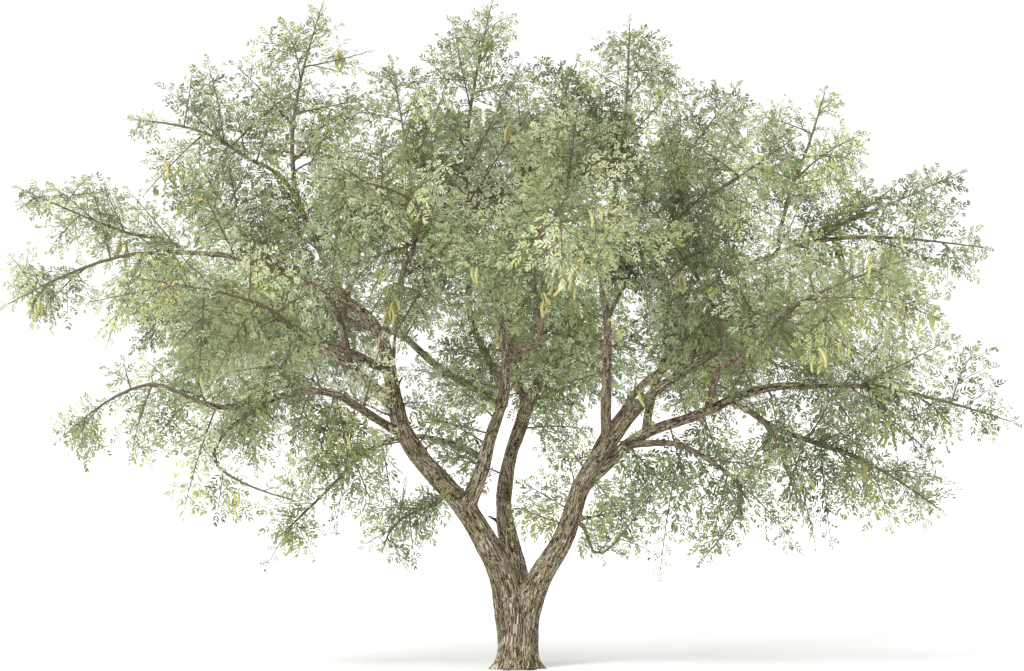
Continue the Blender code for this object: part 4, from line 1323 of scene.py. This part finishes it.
    def grow_side(self, start, direction, thickest):
        room = self.space.room(start, direction) - SHORTEST_SPRAY
        shares = LONG_SIDE if self.chance.random() < LONG_SIDE_SHARE else SHORT_SIDE
        length = min(room, LONGEST_SIDE * self.size) * self.chance.uniform(*shares)
        if length < SHORTEST_SIDE:
            return
        sag = Vector((0, 0, -SIDE_SAG * (1.2 - direction.z) * self.chance.uniform(*SIDE_SAG_WANDER)))
        bend = sag + Vector([self.chance.gauss(0, SIDE_BEND) for _ in range(3)])
        points = bent(start, (direction - bend * 0.5).normalized(), length, bend, SIDE_RINGS + 1)
        thick = min(SIDE_RADIUS, thickest * SIDE_THICKNESS) * min(1, 0.5 + length)
        side = Path(points, tapered((thick, SIDE_END_RADIUS), SIDE_RINGS))
        self.wood.append((side, SIDE_SIDES))
        fresh = self.chance.random() < FRESH_SHARES.get(self.name, USUAL_FRESH_SHARE)
        # The bough's tone is random, made lighter towards the west, where the sun comes from: painted light.
        west = (CROWN_MIDDLE[0] - start.x) / CROWN_HALF[0]
        self.tone = self.chance.gauss(0, BOUGH_TINT_WANDER) + PAINTED_LIGHT_ON_WEST * west
        normal = facing(self.chance, direction)
        self.grow_twigs(side, normal, fresh)
        self.dress(side, normal, BARE_SIDE * length, fresh)


def bough_path(bough, paths):
    """A bough's curve from its parent to its end place."""
    start = paths[bough.parent].at(bough.share)
    end = Vector(bough.end)
    onward = (Vector(bough.middle) - end).normalized()
    curve = [start] + easy_curve(start, heading(*bough.leave), end, onward)
    points = evenly_spaced(curve, BOUGH_POINTS)
    return Path(points, tapered(BOUGH_RADII, BOUGH_POINTS))


def facing_like(chance, normal, direction):
    """A normal near another's, across a direction."""
    wander = Vector([chance.gauss(0, LIKE_FACING_WANDER) for _ in range(3)])
    return squared(normal + wander, direction)


def deal_tints(depth, tone, fresh, chance):
    """Two tints for a spray, near its bough's tone and a little lighter at the crown's edge, as painted light
    on the outer sprays.
    """
    tints = FRESH_TINTS if fresh else USUAL_TINTS
    edge = min(max(depth - EDGE_START, 0) / EDGE_WIDTH, 1)
    # Lighter at the crown's outline: painted light on the outer sprays.
    place = MIDDLE_TINT + PAINTED_LIGHT_AT_EDGE * edge + (1 - EDGE_CALM * edge) * tone
    place += chance.gauss(0, SPRAY_TINT_WANDER)
    second = place + chance.choice(SECOND_TINT_STEPS)
    return [tints[min(max(round(rung), 0), len(tints) - 1)] for rung in (place, second)]


def spray_shapes(chance):
    """One spray in two sets of leaflets, as points and triangles: along, across and up from its root."""
    leaflets = [(END_LEAFLET, (1, chance.gauss(0, END_LEAFLET_TURN)), LEAFLET_LENGTH * END_LEAFLET_SIZE)]
    for pair in range(LEAFLET_PAIRS):
        share = FIRST_LEAFLET + (LAST_LEAFLET - FIRST_LEAFLET) * pair / (LEAFLET_PAIRS - 1)
        size = LEAST_LEAFLET + LEAFLET_SWELL * math.sin(math.pi * (SWELL_START + SWELL_RUN * share))
        for hand in (1, -1):
            spread = LEAFLET_SPREAD - LEAFLET_CLOSING * share + chance.gauss(0, LEAFLET_SWING)
            spread = math.radians(spread)
            length = LEAFLET_LENGTH * size * chance.uniform(*LEAFLET_LENGTH_WANDER)
            place = share + chance.gauss(0, LEAFLET_SHIFT)
            leaflets.append((place, (math.cos(spread), math.sin(spread) * hand), length))
    chance.shuffle(leaflets)
    shapes = []
    for some in (leaflets[SECOND_SET:], leaflets[:SECOND_SET]):
        points, faces = [], []
        for place, direction, length in some:
            add_leaflet(points, faces, place, direction, length, chance)
        shapes.append((np.array(points), np.array(faces)))
    return shapes


def add_leaflet(points, faces, root, direction, length, chance):
    """A leaflet narrow at its root and blunt at its tip, as three triangles."""
    along, across = direction
    lift = LEAFLET_LIFT + chance.gauss(0, LEAFLET_WAG)
    roll = chance.gauss(0, LEAFLET_ROLL)
    half, tip = LEAFLET_WIDTH / 2, LEAFLET_WIDTH / 2 * LEAFLET_TIP
    first = len(points)
    for reach, width in ((0, 0), (LEAFLET_BELLY, half), (LEAFLET_BELLY, -half), (1, tip), (1, -tip)):
        run = reach * length
        points.append((root + along * run - across * width, across * run + along * width,
                       run * lift + roll * width))
    for a, b, c in ((0, 2, 1), (1, 2, 3), (3, 2, 4)):
        faces.append((first + a, first + b, first + c))


def mesh_piece(name, points, faces, material, smooth=False):
    """An object from an array of points and an array of triangles."""
    mesh = bpy.data.meshes.new(name)
    mesh.vertices.add(len(points))
    mesh.vertices.foreach_set("co", np.asarray(points, np.float32).ravel())
    mesh.loops.add(len(faces) * 3)
    mesh.loops.foreach_set("vertex_index", np.asarray(faces, np.int32).ravel())
    mesh.polygons.add(len(faces))
    mesh.polygons.foreach_set("loop_start", np.arange(0, len(faces) * 3, 3, dtype=np.int32))
    mesh.update(calc_edges=True)
    mesh.validate()
    if smooth:
        mesh.shade_smooth()
    mesh.materials.append(material)
    piece = bpy.data.objects.new(name, mesh)
    bpy.context.collection.objects.link(piece)
    return piece


def placed(shape, faces, sprays):
    """Copies of one shape, one for each spray, joined."""
    roots, alongs, normals = (np.array([tuple(getattr(spray, part)) for spray in sprays])
                              for part in ("root", "direction", "normal"))
    lengths = np.array([spray.length for spray in sprays])
    sides = np.cross(normals, alongs)
    run, across, up = shape[:, 0], shape[:, 1], shape[:, 2]
    size = lengths[:, None, None]
    points = roots[:, None, :] + size * (alongs[:, None, :] * run[None, :, None]
                                         + sides[:, None, :] * across[None, :, None]
                                         + normals[:, None, :] * up[None, :, None])
    points[:, :, 2] -= SPRAY_DROOP * lengths[:, None] * np.maximum(run, 0)[None, :] ** 2
    count = len(roots)
    corners = faces[None, :, :] + (np.arange(count) * len(shape))[:, None, None]
    return points.reshape(-1, 3), corners.reshape(-1, 3)


def gather(parts):
    """Several sets of points and triangles as one."""
    points, faces, first = [], [], 0
    for some, corners in parts:
        points.append(some)
        faces.append(corners + first)
        first += len(some)
    return np.concatenate(points), np.concatenate(faces)


def ring_faces(rings, sides):
    """Triangles between each ring of points and the next."""
    faces = []
    for i in range(rings - 1):
        for side in range(sides):
            a, b = i * sides + side, i * sides + (side + 1) % sides
            faces += [(a, b, b + sides), (a, b + sides, a + sides)]
    return faces


def tube_mesh(path, sides):
    """The skin of a tapering twig, open at its root and pointed at its tip."""
    across = Vector((0.3, -0.9, 0.2))
    rows = []
    for i, (point, radius) in enumerate(zip(path.points, path.radii)):
        direction = path.direction(i)
        across = squared(across, direction)
        other = direction.cross(across)
        turns = [math.tau * side / sides for side in range(sides)]
        rows.append([point + (across * math.cos(t) + other * math.sin(t)) * radius for t in turns])
    points = np.array([tuple(p) for row in rows for p in row] + [tuple(path.points[-1])])
    faces = ring_faces(len(rows), sides)
    last = (len(rows) - 1) * sides
    for side in range(sides):
        faces.append((last + side, last + (side + 1) % sides, len(points) - 1))
    return points, np.array(faces)


def stalk_shape():
    """The stalk of a spray: a three-sided spike at length 1."""
    points = [(1.0, 0.0, 0.0)]
    for side in range(3):
        turn = math.tau * side / 3
        points.append((0.0, math.cos(turn), math.sin(turn)))
    return np.array(points), np.array([(1 + side, 1 + (side + 1) % 3, 0) for side in range(3)])


def clear_of_limbs(sprays, paths):
    """The sprays that keep off the limbs, tested at three places on each."""
    starts, ends, radii = [], [], []
    for path in paths.values():
        for i in range(0, len(path.points) - 1, CLEARANCE_STEP):
            j = min(i + CLEARANCE_STEP, len(path.points) - 1)
            starts.append(path.points[i])
            ends.append(path.points[j])
            radii.append(max(path.radii[i:j + 1]))
    starts, radii = np.array(starts), np.array(radii)
    along = np.array(ends) - starts
    square = (along ** 2).sum(axis=1)
    clear = np.ones(len(sprays), bool)
    roots = np.array([spray.root for spray in sprays])
    ways = np.array([spray.direction * spray.length for spray in sprays])
    for share in CLEARANCE_PLACES:
        places = roots + ways * share
        for first in range(0, len(places), CLEARANCE_BATCH):
            batch = places[first:first + CLEARANCE_BATCH]
            _, away = off_stretches(batch, starts, along, square)
            gap = np.linalg.norm(away, axis=2) - radii
            clear[first:first + len(batch)] &= gap.min(axis=1) > LIMB_CLEARANCE
    return [spray for spray, free in zip(sprays, clear) if free]


def make_leaves(sprays):
    """The sprays as joined pieces, one for each tint."""
    chance = random.Random(f"{SEED} sprays")
    kinds = [spray_shapes(chance) for _ in range(SPRAY_KINDS)]
    for tint, colour in TINTS.items():
        parts = []
        for number, field in enumerate(("tint", "second_tint")):
            mine = [spray for spray in sprays if getattr(spray, field) == tint]
            for kind, shapes in enumerate(kinds):
                if mine[kind::SPRAY_KINDS]:
                    parts.append(placed(*shapes[number], mine[kind::SPRAY_KINDS]))
        for number, some in enumerate(packed(parts, LEAF_PIECE)):
            material = plain_material(f"leaf_{tint}", colour, LEAF_ROUGHNESS)
            leaves = mesh_piece(f"leaves_{tint}_{number + 1}", *gather(some), material)
            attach(leaves, "root")
            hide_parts(*MASS_NODES)


def packed(parts, most):
    """Sets of points and triangles, grouped so that no group has more than so many triangles."""
    groups, count = [[]], 0
    for part in parts:
        if count + len(part[1]) > most:
            groups.append([])
            count = 0
        groups[-1].append(part)
        count += len(part[1])
    return groups


def make_twigs(wood, sprays):
    """Boughs, leaders, side boughs and twigs in one piece, and the stalks of the sprays in another."""
    points, faces = gather([tube_mesh(path, sides) for path, sides in wood])
    brown = plain_material("twig_bark", TWIG_COLOUR, TWIG_ROUGHNESS)
    twigs = mesh_piece("twigs", points, faces, brown, True)
    shape, faces = stalk_shape()
    slim = shape * (1, SPRAY_ROOT_RADIUS / SPRAY_LENGTH, SPRAY_ROOT_RADIUS / SPRAY_LENGTH)
    points, faces = placed(slim, faces, sprays)
    green = plain_material("stalk", STALK_COLOUR, TWIG_ROUGHNESS)
    stalks = mesh_piece("leaf_stalks", points, faces, green, True)
    for piece in (twigs, stalks):
        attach(piece, "root")
        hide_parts(*MASS_NODES)


def outline_radius(share, start, end, tip, pinch, pinches):
    """The radius of a slender shape at a share of its length: pointed at both ends, with pinches."""
    body = min(share / start, 1, (1 - share) / end)
    return max(body, tip) * (1 + pinch * math.cos(math.tau * pinches * share))


def slender_shape(rings, sides, outline, bow):
    """A slender hanging shape, at length 1 and radius 1: a pod or a spike."""
    points = []
    for i in range(rings):
        share = i / (rings - 1)
        for side in range(sides):
            turn = math.tau * side / sides
            radius = outline_radius(share, *outline)
            bowed = bow * math.sin(math.pi * share)
            points.append((share, math.cos(turn) * radius, math.sin(turn) * radius, bowed))
    return points, ring_faces(rings, sides)


def hang(shape, place, direction, normal, length, radius):
    """One slender shape at its place: along its length, with its bow across."""
    points, faces = shape
    side = direction.cross(normal)
    made = []
    for run, across, up, bow in points:
        made.append(tuple(place + direction * run * length + side * (across * radius + bow * length)
                          + normal * up * radius))
    return np.array(made), np.array(faces)


def make_hanging(name, colour, places, counts, lengths, radius, shape, spread, rise):
    """Clusters of pods or spikes that hang from twigs."""
    chance = random.Random(f"{SEED} {name}")
    parts = []
    for place in places:
        for _ in range(chance.randint(*counts)):
            root = place + Vector([chance.gauss(0, spread) for _ in range(3)])
            way = Vector([chance.gauss(0, HANGING_WANDER) for _ in range(2)] + [rise]).normalized()
            normal = facing(chance, way)
            parts.append(hang(shape, root, way, normal, chance.uniform(*lengths), radius))
    points, faces = gather(parts)
    piece = mesh_piece(name, points, faces, plain_material(name + "_skin", colour, POD_ROUGHNESS), True)
    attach(piece, "root")
    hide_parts(*MASS_NODES)


def cluster_places(wanted, tips, more, seed):
    """Twigs nearest the wanted places in the south elevation, on its near side, and some more by chance."""
    places = []
    for x, z in wanted:
        def off(tip):
            return math.hypot(tip.x - x, tip.z - z) + NEAR_SIDE_PULL * tip.y

        places.append(min(tips, key=off))
    chance = random.Random(f"{SEED} {seed} places")
    return places + chance.sample(tips, more)


def bark_piece(name, limbs, skin, voxel, grain, material):
    """Limbs as one skin with the relief and the colours of bark."""
    piece = join(limbs, name)
    fuse_skin(piece, skin, voxel)
    carve_bark(piece, grain)
    piece.data.materials.clear()
    piece.data.materials.append(material)
    return piece


def make_bark(paths):
    """The relief of the bark on the trunk and stems, and on the smaller limbs."""
    stems = {name: rooted(name, paths[name]) if name in STEM_SEATS else paths[name] for name in STEMS}
    stems.update({f"snag_{i}": snag_path(snag, paths) for i, snag in enumerate(SNAGS)})
    heart = [Vector((TRUNK_LEAN * i / 9, 0, FORK_HEIGHT * i / 9)) for i in range(8)]
    heart = Path(heart, [between((NECK_RADIUS, NECK_RADIUS, HEART_RADIUS), i / 7) for i in range(8)])
    grain = Grain({**paths, **{name: stems[name] for name in STEM_SEATS}, "trunk": heart})
    things = [make_trunk()] + [make_limb(name, path) for name, path in stems.items()]
    trunk = bark_piece("trunk_and_stems", things, Skin(stems.values(), STEM_SOFTNESS, True), STEM_VOXEL,
                       grain, bark_material("furrowed_bark", TRUNK_COLOURS, 1))
    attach(trunk, "root")
    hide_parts("trunk", *STEMS)
    names = [limb.name for limb in LIMBS if limb.name not in STEMS]
    things = [make_limb(name, paths[name]) for name in names]
    skin = Skin([paths[name] for name in names], LIMB_SOFTNESS, False)
    limbs = bark_piece("limbs", things, skin, LIMB_VOXEL, grain,
                       bark_material("limb_bark", LIMB_COLOURS, LIMB_FINENESS))
    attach(limbs, "root")
    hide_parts(*names)


def make_floor():
    deselect_all()
    bpy.ops.mesh.primitive_circle_add(vertices=96, radius=FLOOR_RADIUS, fill_type="NGON",
                                      location=(0, 0, -FLOOR_DROP))
    floor = bpy.context.object
    floor.name = "floor"
    floor.data.materials.append(plain_material("pale_floor", FLOOR_COLOUR, FLOOR_ROUGHNESS))


def light_and_camera():
    scene = bpy.context.scene
    scene.view_settings.view_transform = "Standard"
    world = bpy.data.worlds.new("studio")
    world.use_nodes = True
    sky = world.node_tree.nodes["Background"]
    sky.inputs["Color"].default_value = (1, 1, 1, 1)
    sky.inputs["Strength"].default_value = SKY_STRENGTH
    scene.world = world

    sun = bpy.data.lights.new("key", "SUN")
    sun.energy = SUN_STRENGTH
    sun.angle = math.radians(SUN_SOFTNESS)
    lamp = bpy.data.objects.new("key", sun)
    lamp.rotation_euler = Vector(SUN_WAY).to_track_quat("-Z", "Y").to_euler()
    scene.collection.objects.link(lamp)

    camera = bpy.data.cameras.new("camera")
    camera.sensor_width = SENSOR_WIDTH
    camera.lens = SENSOR_WIDTH * CAMERA_DISTANCE / PICTURE_WIDTH
    camera.clip_end = FARTHEST_SEEN
    eye = bpy.data.objects.new("camera", camera)
    eye.location = (PICTURE_MIDDLE[0], -CAMERA_DISTANCE, PICTURE_MIDDLE[1])
    eye.rotation_euler = (math.radians(90), 0, 0)
    scene.collection.objects.link(eye)
    scene.camera = eye


def grow_crown(paths):
    """The growers of all masses, boughs and shoots, each with what it has grown."""
    growers = []
    for mass in MASSES:
        grower = Grower(mass.name, mass_space(mass), sum(mass.half) / 3 / USUAL_HALF_SIZE)
        grower.grow(paths[mass.limb])
        growers.append(grower)
    for bough in BOUGHS:
        path = bough_path(bough, paths)
        space = Space(np.array(bough.middle), np.array(bough.half), [])
        grower = Grower(bough.name, space, sum(bough.half) / 3 / USUAL_HALF_SIZE)
        grower.wood.append((path, BOUGH_SIDES))
        grower.grow(path)
        growers.append(grower)
    for name, *shoots in SHOOTS:
        for share, course, depth, length in shoots:
            start, way = paths[name].at(share), heading(course, depth)
            middle = np.array(start + way * length * SHOOT_MIDDLE)
            space = Space(middle, np.full(3, length * SHOOT_HALF), [])
            grower = Grower(f"{name} {share}", space, SHOOT_SIZE)
            grower.grow_side(start, way, paths[name].radius_at(share))
            growers.append(grower)
    return growers


# The seed is set for noise as well, so that every run grows the same tree.
noise.seed_set(SEED)

trunk_axis = Path([Vector((0, 0, 0)), Vector((TRUNK_LEAN, 0, FORK_HEIGHT))], [NECK_RADIUS, HEAD_RADIUS])
paths = {"trunk": trunk_axis}
for limb in LIMBS:
    paths[limb.name] = limb_path(limb, paths)
make_bark(paths)

growers = grow_crown(paths)
wood = [stretch for grower in growers for stretch in grower.wood]
sprays = [spray for grower in growers for spray in grower.sprays]
tips = [tip for grower in growers for tip in grower.tips]
sprays = clear_of_limbs(sprays, paths)
make_leaves(sprays)
make_twigs(wood, sprays)

pod_places = cluster_places(POD_PLACES, tips, MORE_PODS, "pods")
blossom_places = cluster_places(BLOSSOM_PLACES, tips, MORE_BLOSSOM, "blossom")
pod = slender_shape(POD_RINGS, POD_SIDES, POD_OUTLINE, POD_BOW)
spike = slender_shape(SPIKE_RINGS, SPIKE_SIDES, SPIKE_OUTLINE, SPIKE_BOW)
make_hanging("pods", POD_COLOUR, pod_places, PODS_IN_CLUSTER, POD_LENGTH, POD_RADIUS, pod,
             POD_SPREAD, POD_RISE)
make_hanging("blossom", BLOSSOM_COLOUR, blossom_places, SPIKES_IN_CLUSTER, SPIKE_LENGTH,
             SPIKE_RADIUS, spike, SPIKE_SPREAD, SPIKE_RISE)

make_floor()
light_and_camera()
